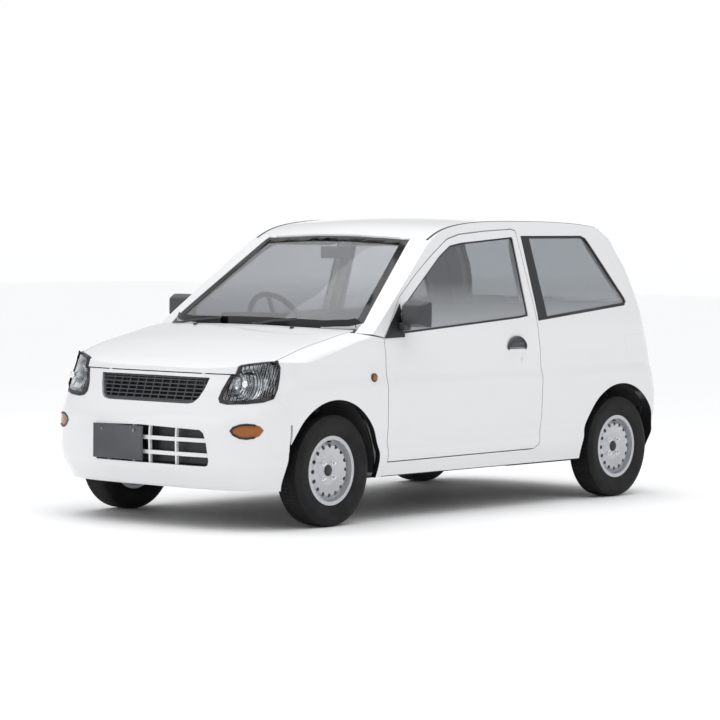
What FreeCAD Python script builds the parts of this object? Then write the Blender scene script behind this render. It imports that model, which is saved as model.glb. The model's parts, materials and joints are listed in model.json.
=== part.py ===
import FreeCAD
import Part
import Sketcher
import math
import os
import re

from FreeCAD import Vector

# A three-door kei car. Its front points to -Y, its left side to +X, and it stands on Z = 0.
# The origin is on the ground, under the middle of the overall length and width.

SIZES = {
    "overall_length": 3395.0,
    "overall_width": 1475.0,
    "overall_height": 1480.0,
    "wheelbase": 2340.0,
    "front_overhang": 580.5,
    "panel_gap": 5.0,
    "cut_overrun": 60.0,
    "skin_thickness": 28.0,
    "side_thickness": 45.0,
    "door_thickness": 92.0,
    "lamp_depth": 70.0,
    "roof_thickness": 28.0,
    "glass_thickness": 5.0,
    "glass_inset": 8.0,
    "glass_clearance": 0.3,
    "arch_radius": 337.0,
    "track_front": 1295.0,
    "track_rear": 1290.0,
    "tyre_radius": 268.0,
    "tyre_width": 145.0,
    "rim_radius": 166.0,
    "rim_bead_radius": 153.0,
    "rim_width": 112.0,
    "rim_wall": 5.0,
    "rim_disc_offset": 30.0,
    "hub_bore_radius": 28.0,
    "drum_radius": 98.0,
    "drum_depth": 46.0,
    "spindle_radius": 14.0,
    "running_clearance": 0.3,
    "strut_radius": 24.0,
    "spring_radius": 58.0,
    "ground_clearance": 205.0,
    "floor_thickness": 16.0,
    "sheet_thickness": 12.0,
    "spindle_clearance": 0.05,
    "hinge_thickness": 20.0,
    "buffer_thickness": 10.0,
    "strut_clearance": 6.0,
    "wheel_hole_radius": 10.0,
    "arm_thickness": 20.0,
    "mirror_depth": 75.0,
    "grille_inset": 12.0,
    "intake_bar": 19.0,
    "headrest_height": 120.0,
    "lens_thickness": 5.0,
    "bowl_radius": 84.0,
    "grille_slat": 5.0,
    "handle_stand": 16.0,
    "handle_length": 108.0,
    "handle_height": 26.0,
    "apron_half_gap": 385.0,
    "floor_half_width": 607.4,
    "wheelhouse_clearance": 6.0,
    "engine_width": 640.0,
    "engine_length": 330.0,
    "engine_height": 430.0,
    "radiator_thickness": 36.0,
    "axle_tube_radius": 30.0,
    "exhaust_radius": 20.0,
    "silencer_radius": 75.0,
    "tank_height": 130.0,
    "steering_wheel_radius": 172.0,
    "steering_rim_radius": 14.0,
    "steering_hub_radius": 55.0,
    "steering_hub_depth": 40.0,
    "column_radius": 26.0,
    "seat_width": 480.0,
    "seat_cushion_depth": 480.0,
    "seat_cushion_height": 150.0,
    "seat_back_height": 620.0,
    "seat_back_thickness": 110.0,
    "seat_centre": 325.0,
}

doc = FreeCAD.newDocument("kei_car")
sheet = doc.addObject("Spreadsheet::Sheet", "sizes")
for row, (alias, value) in enumerate(SIZES.items(), start=1):
    sheet.set(f"A{row}", alias)
    sheet.set(f"B{row}", str(value))
    sheet.setAlias(f"B{row}", alias)
doc.recompute()
size = {alias: float(sheet.get(alias)) for alias in SIZES}

length = size["overall_length"]
half_width = size["overall_width"] / 2
height = size["overall_height"]
gap = size["panel_gap"]
overrun = size["cut_overrun"]
wide = half_width + overrun
clearance = size["glass_clearance"]
nose_y = -length / 2
tail_y = length / 2
front_axle_y = nose_y + size["front_overhang"]
rear_axle_y = front_axle_y + size["wheelbase"]
axle_z = size["tyre_radius"]
X_AXIS = Vector(1, 0, 0)
Y_AXIS = Vector(0, 1, 0)
Z_AXIS = Vector(0, 0, 1)
MIRROR_PLANE = Vector(0, 0, 0)


# Places on the car are given as shares: x of the half width, y of the length, z of the height.

# Half width of the side over the height: (z, x).
SIDE_SHARES = [
    (0.0676, 0.9356), (0.1284, 0.9424), (0.15, 0.9492), (0.2027, 0.979), (0.2331, 0.9858),
    (0.25, 0.979), (0.3041, 0.9885), (0.3716, 0.9953), (0.4392, 1), (0.4797, 0.9844),
    (0.5608, 0.979), (0.5811, 0.9722), (0.6081, 0.9654), (0.6419, 0.9573), (0.7432, 0.9003),
    (0.8446, 0.842), (0.9459, 0.7824), (1.0135, 0.739), (1.0541, 0.7119),
]

# Middle of the nose over the height: (z, y).
NOSE_SHARES = [
    (0.0676, -0.4801), (0.1351, -0.4831), (0.1622, -0.4919), (0.2027, -0.4984), (0.2703, -0.5),
    (0.3243, -0.4993), (0.3649, -0.4948), (0.3919, -0.4875), (0.4054, -0.4845),
    (0.4459, -0.4772), (0.4878, -0.4713), (0.5, -0.4683), (0.5405, -0.4624), (0.7432, -0.4418),
]

# How far the nose is drawn back where its corner meets the side: (z, y).
NOSE_CORNER_SHARES = [
    (0.0676, 0.0972), (0.1709, 0.0972), (0.2135, 0.0972), (0.2797, 0.0972), (0.3466, 0.0972),
    (0.3797, 0.0972), (0.4209, 0.0972), (0.4966, 0.0972), (0.5405, 0.0972), (0.7432, 0.0972),
]

# Middle of the tail over the height: (z, y).
TAIL_SHARES = [
    (0.0676, 0.4831), (0.1351, 0.486), (0.1905, 0.4895), (0.2642, 0.4984), (0.2973, 0.5),
    (0.3284, 0.5), (0.3784, 0.4978), (0.4054, 0.4913), (0.4493, 0.4875), (0.5385, 0.4786),
    (0.6196, 0.4704), (0.7101, 0.4645), (0.825, 0.4477), (0.9277, 0.4212), (0.9574, 0.4012),
    (0.9797, 0.3894), (1.0541, 0.377),
]

TAIL_CORNER_SHARES = [
    (0.0676, 0.0677), (0.2027, 0.0677), (0.3284, 0.0677), (0.4493, 0.0633), (0.7101, 0.0604),
    (0.9574, 0.0589), (1.0541, 0.0589),
]

# Heights of the rows of points on the body surface.
ROW_SHARES = [0.0676, 0.1284, 0.15, 0.1757, 0.2027, 0.2331, 0.25, 0.3041, 0.3466, 0.3784, 0.4243,
    0.4392, 0.4676, 0.4811, 0.5203, 0.5486, 0.5811, 0.6182, 0.6622, 0.7432, 0.825, 0.8851, 0.9277,
    0.9459, 0.9574, 0.9797, 1.0135, 1.0541]
NOSE_ROWS = 20

# Columns of the corners, as shares of the half width there.
CORNER_SHARES = [0, 0.25, 0.5, 0.65, 0.75, 0.83, 0.89, 0.94, 0.975, 0.993]
CORNER_BOW = 3.5
CORNER_SQUARENESS = 2.6

# Bonnet surface: middle line (y, z), and its fall towards the sides (x, z).
BONNET_SHARES = [
    (-0.5184, 0.3514), (-0.5007, 0.4122), (-0.486, 0.4595), (-0.4713, 0.5014),
    (-0.4595, 0.5216), (-0.4418, 0.5405), (-0.4242, 0.5554), (-0.4006, 0.573), (-0.377, 0.5885),
    (-0.3535, 0.6014), (-0.3343, 0.6101), (-0.3093, 0.6223), (-0.2798, 0.6358),
    (-0.2504, 0.6466), (-0.2062, 0.6595), (-0.1767, 0.6676),
]
BONNET_FALL_SHARES = [
    (0, 0), (0.2169, 0.0008), (0.4339, 0.0034), (0.6508, 0.0078), (0.7864, 0.0115),
    (0.8678, 0.0162), (0.922, 0.0257), (0.9559, 0.0378), (0.9831, 0.0541), (1.0034, 0.0743),
    (1.0712, 0.1554),
]

# Cabin surface: middle line (y, z), and the share of the fall there.
CABIN_SHARES = [
    (-0.324, 0.5385), (-0.2946, 0.5865), (-0.2636, 0.6378), (-0.218, 0.7169), (-0.1723, 0.7919),
    (-0.1267, 0.8669), (-0.0972, 0.9142), (-0.081, 0.9372), (-0.0677, 0.9514),
    (-0.0442, 0.9696), (0, 0.9865), (0.0442, 0.9953), (0.1031, 0.9993), (0.1532, 1),
    (0.2062, 0.9993), (0.2504, 0.9973), (0.3093, 0.9919), (0.3387, 0.9865), (0.3682, 0.9791),
    (0.3918, 0.9716), (0.4271, 0.9561), (0.5184, 0.9054),
]
CABIN_FALL_PARTS = [1, 1, 1, 1, 1, 1, 0.95, 0.85, 0.75, 0.6, 0.45, 0.42, 0.4, 0.4, 0.4, 0.4, 0.42,
    0.45, 0.5, 0.55, 0.6, 0.6]
CABIN_FALL_SHARES = [
    (0, 0), (0.2034, 0.0024), (0.4068, 0.0098), (0.6102, 0.022), (0.7539, 0.0334),
    (0.8678, 0.0446), (0.9763, 0.0568), (1.0712, 0.0676),
]

# Outlines of the panels, seen from the side (y, z), from above (x, y) and from the front (x, z).
DOOR_SHARES = [
    (-0.2109, 0.1966), (-0.2159, 0.4054), (-0.2191, 0.6007), (-0.1714, 0.7297),
    (-0.1205, 0.8081), (-0.0736, 0.8716), (-0.0309, 0.923), (0, 0.9392), (0.0589, 0.95),
    (0.1296, 0.9581), (0.1399, 0.9527), (0.1467, 0.627), (0.1482, 0.5196), (0.1508, 0.4291),
    (0.1508, 0.2703), (0.1473, 0.2162), (0.1355, 0.2007),
]
DOOR_WINDOW_SHARES = [
    (-0.1885, 0.6122), (-0.185, 0.6655), (-0.1591, 0.7135), (-0.058, 0.8676), (-0.028, 0.9027),
    (0, 0.9122), (0.1278, 0.9324), (0.1302, 0.923), (0.1275, 0.6595), (0.1057, 0.6534),
    (-0.0433, 0.6324),
]
QUARTER_WINDOW_SHARES = [
    (0.1508, 0.9365), (0.3063, 0.9378), (0.3175, 0.9297), (0.324, 0.9135), (0.3865, 0.7176),
    (0.3894, 0.7014), (0.3841, 0.6878), (0.1508, 0.6419),
]
BELT_SHARES = [
    (-0.2946, 0.5899), (-0.2191, 0.6007), (-0.0433, 0.6243), (0.1122, 0.648), (0.2651, 0.6689),
    (0.5007, 0.7027),
]
WINDSCREEN_SHARES = [
    (0, -0.263), (0.3119, -0.261), (0.5831, -0.2539), (0.7593, -0.2433), (0.8434, -0.2333),
    (0.6373, -0.0742), (0.5831, -0.0772), (0.339, -0.0813), (0, -0.0828),
]
ROOF_SHARES = [
    (0, -0.081), (0.339, -0.0795), (0.5831, -0.0754), (0.6427, -0.0719), (0.7051, -0.0633),
    (0.7485, -0.056), (0.7485, 0.3652), (0.678, 0.3717), (0.339, 0.3764), (0, 0.3776),
]
BONNET_OUTLINE_SHARES = [
    (0, -0.2792), (0.4068, -0.2778), (0.6508, -0.2733), (0.8136, -0.2651), (0.8624, -0.261),
    (0.8651, -0.4065), (0.8569, -0.4277), (0.7593, -0.4389), (0.6671, -0.4501),
    (0.6563, -0.4595), (0.6373, -0.5007), (0, -0.5184),
]
HEADLAMP_SHARES = [
    (0.5844, 0.4176), (0.5925, 0.4446), (0.6224, 0.4824), (0.6481, 0.5108), (0.6725, 0.5608),
    (0.8244, 0.5608), (0.8786, 0.5405), (0.9003, 0.5189), (0.9098, 0.4858), (0.9193, 0.4486),
    (0.9153, 0.4203), (0.8746, 0.4095), (0.7864, 0.4034), (0.6603, 0.4), (0.6047, 0.4047),
]
GRILLE_SHARES = [
    (0, 0.3973), (0.358, 0.3973), (0.3986, 0.4014), (0.4285, 0.4149), (0.4583, 0.4446),
    (0.48, 0.4811), (0, 0.4818),
]
INTAKE_SHARES = [
    (0, 0.2027), (0.5424, 0.2027), (0.5654, 0.2068), (0.5722, 0.2203), (0.5559, 0.2784),
    (0.5342, 0.3081), (0.5044, 0.3182), (0, 0.3243),
]
TAILGATE_SHARES = [
    (0, 0.4088), (0.6373, 0.4088), (0.7051, 0.4324), (0.7322, 0.4865), (0.7539, 0.6081),
    (0.8, 0.6284), (0.7973, 0.7162), (0.739, 0.9257), (0.7119, 1.0541), (0, 1.0541),
]
TAILGATE_GLASS_SHARES = [
    (0, 0.6824), (0.7051, 0.6824), (0.7322, 0.7027), (0.678, 0.9054), (0.6373, 0.927),
    (0, 0.9324),
]
TAIL_LAMP_SHARES = [
    (0.7403, 0.473), (0.7607, 0.6115), (0.7864, 0.6182), (1.0847, 0.6182), (1.0847, 0.473),
]
FRONT_BUMPER_SHARES = [
    (-0.5184, 0.127), (-0.423, 0.127), (-0.423, 0.2703), (-0.4242, 0.3581), (-0.433, 0.3986),
    (-0.4418, 0.4203), (-0.5184, 0.4203),
]
NOSE_PANEL_SHARES = [
    (0, 0.3378), (0.678, 0.3378), (0.678, 0.4919), (0, 0.4919),
]
FRONT_FENDER_SHARES = [
    (-0.5184, 0.3378), (-0.4197, 0.3378), (-0.4197, 0.1432), (-0.2193, 0.1453),
    (-0.2193, 0.1493), (-0.2125, 0.1966), (-0.2175, 0.4054), (-0.2206, 0.6007),
    (-0.2239, 0.602), (-0.2798, 0.623), (-0.2842, 0.6757), (-0.5184, 0.6757),
]
REAR_BUMPER_SHARES = [
    (0.5184, 0.1453), (0.4389, 0.1453), (0.4477, 0.223), (0.4513, 0.3041), (0.4507, 0.3784),
    (0.4551, 0.4), (0.4654, 0.4041), (0.5184, 0.4041),
]
SIDE_BOTTOM_SHARES = [
    (-0.2191, 0.1493), (0.5184, 0.1493), (0.5184, 1.1486), (-0.3829, 1.1486), (-0.2784, 0.6284),
    (-0.2227, 0.6054), (-0.2191, 0.6041), (-0.2174, 0.4054), (-0.2124, 0.1966),
]


SILL_SHARES = [
    (-0.2124, 0.1493), (0.2592, 0.1493), (0.2592, 0.1939), (-0.2124, 0.1939),
]
HINGE_PILLAR_SHARES = [
    (-0.2233, 0.1493), (-0.2127, 0.1493), (-0.2127, 0.1966), (-0.218, 0.4054),
    (-0.2209, 0.5946), (-0.2356, 0.5946), (-0.2356, 0.2919), (-0.2306, 0.2689),
    (-0.2256, 0.2331), (-0.2233, 0.2027),
]
INDICATOR_SHARES = [
    (0.7186, 0.3196), (0.7376, 0.3324), (0.7783, 0.3412), (0.819, 0.3439), (0.8597, 0.3419),
    (0.8895, 0.3358), (0.9071, 0.323), (0.8895, 0.3054), (0.8597, 0.2966), (0.8203, 0.2926),
    (0.7797, 0.2953), (0.739, 0.3054),
]
COWL_SHARES = [
    (0, -0.2739), (0.4068, -0.2725), (0.6508, -0.268), (0.8136, -0.2598), (0.8353, -0.258),
    (0.8353, -0.2348), (0.7593, -0.2445), (0.5831, -0.2551), (0.3119, -0.2622), (0, -0.2642),
]

# Single places, as shares of the wheelbase, the length or the height.
JOIN_SHARE = 0.2
TAILGATE_START_SHARE = 0.36
LAMP_END_SHARE = -0.4242
TAIL_LAMP_START_SHARE = 0.4492
BONNET_EDGE_SHARE = 0.4953
INTAKE_BAR_SHARES = [0.2311, 0.2777]
INTAKE_END_SHARE = -0.4068
INTAKE_POST_SHARES = [-0.304, -0.072, 0.072, 0.304]
STRAIGHT_STEP_SHARES = [0.02, 0.06, 0.13, 0.22, 0.33, 0.45, 0.57, 0.7, 0.85, 1]

# Tyre section from the middle of the tread to the bead: across as a share of half its width, up.
TYRE_SHARES = [
    (0.695, 0), (0.695, 0.125), (0.9, 0.2), (0.98, 0.38), (1, 0.55), (0.95, 0.8), (0.82, 0.95), (0.5, 1),
]
RIM_WELL_SHARE = 0.45
DISC_SHOULDER_SHARE = 0.8
DISC_CROWN_SHARE = 0.72
HUB_FACE_SHARE = 0.72
DRUM_STEP_SHARE = 0.4
HOLE_RING_SHARE = 0.715
WHEEL_HOLES = 16
STRUT_TOP_SHARE = 0.53
KNUCKLE_FOOT_SHARE = 0.75
SPINDLE_END_SHARE = 0.5
CARRIER_SHARE = 1.2
REAR_HOUSE_SHARE = 1.25
BULKHEAD_TOP_SHARE = 0.6
TUNNEL_SHARE = 0.16
TUNNEL_END_SHARE = 0.1
TUNNEL_TOP_SHARE = 0.2
RAIL_START_SHARE = 0.03
RAIL_TOP_SHARE = 0.24
ENGINE_AHEAD_SHARE = 0.3
RADIATOR_SHARE = -0.4646
RADIATOR_TOP_SHARE = 0.45
BEAM_BACK_SHARE = 0.35
TRAIL_SHARE = 0.8
TRAIL_LENGTH_SHARE = 0.24
EXHAUST_SIDE_SHARE = 0.5
SILENCER_SHARE = 0.399
SILENCER_LENGTH_SHARE = 0.07
SILENCER_RISE_SHARE = 0.4
TAIL_PIPE_SHARE = 0.096
FRONT_CORNER_SHARE = 0.867
FRONT_CORNER_END_SHARE = -0.4242
REAR_CORNER_SHARE = 0.7925
REAR_CORNER_START_SHARE = 0.4418
TANK_SIDE_SHARE = 0.2
TANK_LENGTH_SHARE = 0.12
DASH_SIDE_SHARE = 0.8
COLUMN_TILT_DEGREES = 25
WHEEL_CENTRE_SHARE = -0.105
WHEEL_HEIGHT_SHARE = 0.62
COLUMN_LENGTH_SHARE = 1.4
SEAT_FRONT_SHARE = -0.035
SEAT_FOOT_SHARE = 0.22
SEAT_RECLINE_DEGREES = 20
BENCH_SHARE = 0.19
MIRROR_PLACE_SHARE = -0.175
DASH_SHARES = [
    (-0.2244, 0.3784), (-0.2244, 0.5405), (-0.2062, 0.6115), (-0.1649, 0.6216),
    (-0.1384, 0.6014), (-0.1296, 0.527), (-0.1473, 0.3784), (-0.1885, 0.3243),
]
MIRROR_SHARES = [
    (0.8976, 0.6115), (0.979, 0.6115), (0.9871, 0.6284), (1.0142, 0.6365), (1.139, 0.6378),
    (1.158, 0.6432), (1.1647, 0.6568), (1.1593, 0.7068), (1.1498, 0.7176), (1.1281, 0.723),
    (0.9966, 0.7257), (0.9708, 0.7203), (0.9573, 0.7054), (0.9532, 0.6797), (0.8949, 0.6797),
]
BOOT_SHARES = [
    (0, 0.4719), (0.5424, 0.4719), (0.6508, 0.4677), (0.7593, 0.4601), (0.8407, 0.4492),
    (0.8881, 0.4359), (0.9058, 0.4212), (0.9058, 0.2062), (0, 0.2062),
]
WING_START_SHARE = 0.664
SPOKE_DEGREES = [20, 160, 270]
SPOKE_SHARE = 0.8
HEADREST_WIDE_SHARE = 0.52
HANDLE_SIDE_SHARE = 0.976
HANDLE_PLACE_SHARE = 0.0795
HANDLE_HEIGHT_SHARE = 0.5595
SIDE_START_SHARE = 0.56
BOOT_FLOOR_SHARE = 0.236
HEEL_SHARE = 0.208
BOOT_END_SHARE = 0.472
BACK_PANEL_SHARE = 0.4
DOOR_HINGE_SHARE = -0.2286
DOOR_HINGE_HEIGHT_SHARES = [0.26, 0.47]
LIFT_HINGE_SHARE = 0.42
LIFT_HINGE_PLACE_SHARE = 0.373
LIFT_HINGE_HEIGHT_SHARE = 0.955
BUFFER_SHARE = -0.4672
BUFFER_SIDE_SHARE = 0.4

BOWL_SIDE_SHARE = 0.765
BOWL_PLACE_SHARE = -0.4625
BOWL_HEIGHT_SHARE = 0.4675
GRILLE_SLATS = 6
GRILLE_FOOT_SHARE = 0.405
GRILLE_PITCH_SHARE = 0.0125
GRILLE_POSTS = 6
GRILLE_POST_SHARE = 0.0725
FUEL_LID_SHARES = [
    (0.3782, 0.4757), (0.42, 0.4757), (0.4236, 0.4838), (0.4236, 0.575), (0.42, 0.5831),
    (0.3782, 0.5831), (0.3747, 0.575), (0.3747, 0.4838),
]


def placed(pairs, first, second):
    """Pairs of shares as lengths."""
    return [(a * first, b * second) for a, b in pairs]


def between(table, value):
    """The table's second column at a value of the first, in straight steps."""
    if value <= table[0][0]:
        return table[0][1]
    for (low, at_low), (high, at_high) in zip(table, table[1:]):
        if value <= high:
            part = (value - low) / (high - low)
            return at_low + (at_high - at_low) * part
    return table[-1][1]


side_line = placed(SIDE_SHARES, height, half_width)
nose_line = placed(NOSE_SHARES, height, length)
nose_corner = placed(NOSE_CORNER_SHARES, height, length)
tail_line = placed(TAIL_SHARES, height, length)
tail_corner = placed(TAIL_CORNER_SHARES, height, length)
rows = [share * height for share in ROW_SHARES]
join_y = front_axle_y + size["wheelbase"] * JOIN_SHARE
cabin_start_y = placed(CABIN_SHARES, length, height)[0][0]


def surface(points):
    spline = Part.BSplineSurface()
    spline.interpolate(points)
    return spline.toShape()


def corner_row(z, end_line, corner_line, straight_y, inset):
    """One level row of points from side to side, round the nose or the tail."""
    end_y = between(end_line, z)
    outward = math.copysign(1, end_y)
    depth = between(corner_line, z)
    side_x = between(side_line, z) - inset
    half = []
    for share in CORNER_SHARES + [1]:
        reach = (1 - share ** CORNER_BOW) ** (1 / CORNER_SQUARENESS)
        half.append(Vector(share * side_x, end_y - outward * (inset + depth * (1 - reach)), z))
    last_y = half[-1].y
    for step_share in STRAIGHT_STEP_SHARES:
        half.append(Vector(side_x, last_y + (straight_y - last_y) * step_share, z))
    other = [Vector(-point.x, point.y, point.z) for point in reversed(half[1:])]
    return other + half


def u_block(row_list, end_line, corner_line, straight_y, inset, drop):
    """A solid inside the skin that runs round one end of the car, cut flat elsewhere."""
    outward = math.copysign(1, between(end_line, 0))
    skin_y = straight_y - outward * overrun
    grid = [corner_row(row, end_line, corner_line, skin_y, inset) for row in row_list]
    skin = surface(grid)
    low_z = grid[0][0].z + overrun - drop / 2
    high_z = grid[-1][0].z - overrun + drop / 4
    end_y = between(end_line, 0) + outward * 3 * overrun
    block = box(-wide, wide, min(straight_y, end_y), max(straight_y, end_y), low_z, high_z)
    parts = block.generalFuse([skin])[0].Solids
    middle = Vector(0, (straight_y + tail_y * outward) / 2, (low_z + high_z) / 2)
    return [part for part in parts if part.isInside(middle, clearance, False)][0]


def field_block(line, falls, parts, inset):
    """The space below a surface that is given by its middle line and its fall to the sides."""
    grid = []
    for (y, z), part in zip(line, parts):
        right = [Vector(x, y, z - fall * part - inset) for x, fall in falls]
        left = [Vector(-point.x, point.y, point.z) for point in reversed(right[1:])]
        grid.append(left + right)
    return surface(grid).extrude(Z_AXIS * (-height))


def side_prism(pairs, near=0, far=None):
    """An outline seen from the car's left, as a solid on the left side."""
    far = half_width + overrun if far is None else far
    points = [Vector(near, y, z) for y, z in placed(pairs, length, height)]
    face = Part.Face(Part.makePolygon(points + points[:1]))
    return face.extrude(X_AXIS * (far - near))


def mirrored_outline(pairs):
    back = [(-x, other) for x, other in reversed(pairs) if x > 0]
    return list(pairs) + back


def plan_prism(pairs):
    """An outline of both sides seen from above."""
    points = [Vector(x, y, 0) for x, y in placed(mirrored_outline(pairs), half_width, length)]
    face = Part.Face(Part.makePolygon(points + points[:1]))
    return face.extrude(Z_AXIS * (height + overrun))


def end_prism(pairs, near, far, both=True):
    """An outline seen from the front or the back."""
    pairs = mirrored_outline(pairs) if both else pairs
    points = [Vector(x, near, z) for x, z in placed(pairs, half_width, height)]
    face = Part.Face(Part.makePolygon(points + points[:1]))
    return face.extrude(Y_AXIS * (far - near))


def grown(prism, direction, amount):
    """A prism with its outline moved outwards, to leave a gap round it."""
    base = min(prism.Faces, key=lambda face: face.CenterOfMass.dot(direction))
    offset = base.makeOffset2D(amount)
    reach = max(face.CenterOfMass.dot(direction) for face in prism.Faces)
    depth = reach - base.CenterOfMass.dot(direction)
    return offset.extrude(direction * depth)


def flip(shape):
    """The same piece on the other side of the car."""
    return shape.mirror(MIRROR_PLANE, X_AXIS)


def box(x_low, x_high, y_low, y_high, z_low, z_high):
    corner = Vector(x_low, y_low, z_low)
    return Part.makeBox(x_high - x_low, y_high - y_low, z_high - z_low, corner)


def keep(label, shape):
    if isinstance(shape, list):
        shape = Part.makeCompound(shape)
    piece = doc.addObject("Part::Feature", label)
    piece.Label = label
    piece.Shape = shape
    pieces.append(piece)
    return piece


pieces = []

# The body as solid blocks: the front end under the bonnet line, and the cabin with the tail.

bonnet_line = placed(BONNET_SHARES, length, height)
bonnet_falls = placed(BONNET_FALL_SHARES, half_width, height)
bonnet_parts = [1] * len(bonnet_line)
cabin_line = placed(CABIN_SHARES, length, height)
cabin_falls = placed(CABIN_FALL_SHARES, half_width, height)


def nose_block(inset):
    far_y = join_y if inset == 0 else join_y + overrun
    block = u_block(rows[:NOSE_ROWS], nose_line, nose_corner, far_y, inset, inset and overrun)
    return block.common(field_block(bonnet_line, bonnet_falls, bonnet_parts, inset))


def cabin_block(inset):
    far_y = cabin_start_y if inset == 0 else cabin_start_y - overrun
    block = u_block(rows, tail_line, tail_corner, far_y, inset, inset and overrun)
    return block.common(field_block(cabin_line, cabin_falls, CABIN_FALL_PARTS, inset))


nose_outer = nose_block(0)
nose_inner = nose_block(size["skin_thickness"])
nose_skin = nose_outer.cut(nose_inner)
nose_deep = nose_outer.cut(nose_block(size["lamp_depth"]))
cabin_outer = cabin_block(0)
cabin_side_space = cabin_block(size["side_thickness"])
cabin_side = cabin_outer.cut(cabin_side_space)
cabin_door_space = cabin_block(size["door_thickness"])
cabin_door = cabin_outer.cut(cabin_door_space)
cabin_roof = cabin_outer.cut(cabin_block(size["roof_thickness"]))
glass_out = size["glass_inset"]
glass_in = glass_out + size["glass_thickness"]
cabin_glass = cabin_block(glass_out).cut(cabin_block(glass_in))
front_y = nose_y - overrun
rear_y = tail_y + overrun

# Wheel arches.

def arch_cutter(y, side_low):
    centre = Vector(side_low, y, axle_z)
    return Part.makeCylinder(size["arch_radius"], wide - side_low, centre, X_AXIS)


apron_x = size["apron_half_gap"]
front_arch = arch_cutter(front_axle_y, apron_x)
rear_arch = arch_cutter(rear_axle_y, apron_x)

# Windows and openings.

door_outline = side_prism(DOOR_SHARES)
door_opening = grown(door_outline, X_AXIS, gap)
door_window = side_prism(DOOR_WINDOW_SHARES)
quarter_window = side_prism(QUARTER_WINDOW_SHARES)
windscreen_outline = plan_prism(WINDSCREEN_SHARES)
roof_outline = plan_prism(ROOF_SHARES)
roof_opening = grown(roof_outline, Z_AXIS, clearance)
tailgate_top = grown(roof_outline, Z_AXIS, gap)
tailgate_top_seat = grown(roof_outline, Z_AXIS, gap - clearance)
bonnet_outline = plan_prism(BONNET_OUTLINE_SHARES)
bonnet_opening = grown(bonnet_outline, Z_AXIS, gap)
tailgate_outline = end_prism(TAILGATE_SHARES, length * TAILGATE_START_SHARE, rear_y)
tailgate_opening = grown(tailgate_outline, Y_AXIS, gap)
tailgate_window = end_prism(TAILGATE_GLASS_SHARES, length * TAILGATE_START_SHARE, rear_y)
rear_bumper_outline = side_prism(REAR_BUMPER_SHARES, -wide)
rear_bumper_space = grown(rear_bumper_outline, X_AXIS, clearance)
front_bumper_outline = side_prism(FRONT_BUMPER_SHARES, -wide)
front_bumper_space = grown(front_bumper_outline, X_AXIS, clearance)
lamp_end_y = length * LAMP_END_SHARE
lamp_left_outline = end_prism(HEADLAMP_SHARES, front_y, lamp_end_y, False)
lamp_left_space = grown(lamp_left_outline, Y_AXIS, clearance)
tail_lamp_outline = end_prism(TAIL_LAMP_SHARES, length * TAIL_LAMP_START_SHARE, rear_y, False)
tail_lamp_space = grown(tail_lamp_outline, Y_AXIS, clearance)

# Doors: a deep lower half, a slim frame and an open window.

below_belt = side_prism(list(BELT_SHARES) + [(BELT_SHARES[-1][0], 0), (BELT_SHARES[0][0], 0)])
door_depth = cabin_door.common(door_outline).common(below_belt)
door_depth = door_depth.common(door_outline.translated(Vector(0, -gap, 0)))
door_frame = cabin_side.common(door_outline.translated(Vector(0, -gap, 0)))
door_left = cabin_roof.common(door_outline).fuse(door_frame.common(door_outline))
door_left = door_left.cut(door_window).fuse(door_depth).cut(tailgate_top)
door_glass_left = cabin_glass.common(grown(door_window, X_AXIS, -clearance))

door_piece = keep("door_left", door_left)
keep("door_right", flip(door_left))
door_glass_piece = keep("door_glass_left", door_glass_left)
keep("door_glass_right", flip(door_glass_left))

# Body sides, with the sill and the hinge pillar behind the front wing.

sill = cabin_door.common(side_prism(SILL_SHARES))
pillar = cabin_side_space.cut(cabin_door_space).common(side_prism(HINGE_PILLAR_SHARES))
side_bottom = side_prism(SIDE_BOTTOM_SHARES, half_width * SIDE_START_SHARE)
side_left = cabin_side.common(side_bottom).fuse([sill, pillar])
cowl_space = grown(plan_prism(COWL_SHARES), Z_AXIS, clearance)
for cutter in [door_opening, quarter_window, windscreen_outline, roof_opening, cowl_space,
               tailgate_opening, tail_lamp_space, rear_bumper_space, rear_arch]:
    side_left = side_left.cut(cutter)
hinge_y = length * DOOR_HINGE_SHARE
hinge_t = size["hinge_thickness"]
hinge_x = half_width - size["door_thickness"] + hinge_t / 4
hinge_leaves = []
for hinge_share in DOOR_HINGE_HEIGHT_SHARES:
    foot = height * hinge_share
    hinge_leaves.append(box(hinge_x, hinge_x + hinge_t, hinge_y, hinge_y + 3 * hinge_t, foot,
                        foot + 2 * hinge_t))
door_seat = grown(door_outline, X_AXIS, clearance)
side_left = side_left.fuse([leaf.cut(door_seat) for leaf in hinge_leaves])
side_left_blank = side_left
side_left = side_left.cut(grown(side_prism(FUEL_LID_SHARES), X_AXIS, clearance))
keep("body_side_left", side_left)
keep("body_side_right", flip(side_left_blank))

fuel_lid = side_left_blank.common(side_prism(FUEL_LID_SHARES))
keep("fuel_lid", fuel_lid)

quarter_glass = cabin_glass.common(grown(quarter_window, X_AXIS, -clearance))
keep("quarter_windows", [quarter_glass, flip(quarter_glass)])

# Roof, windscreen and tailgate.

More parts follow.
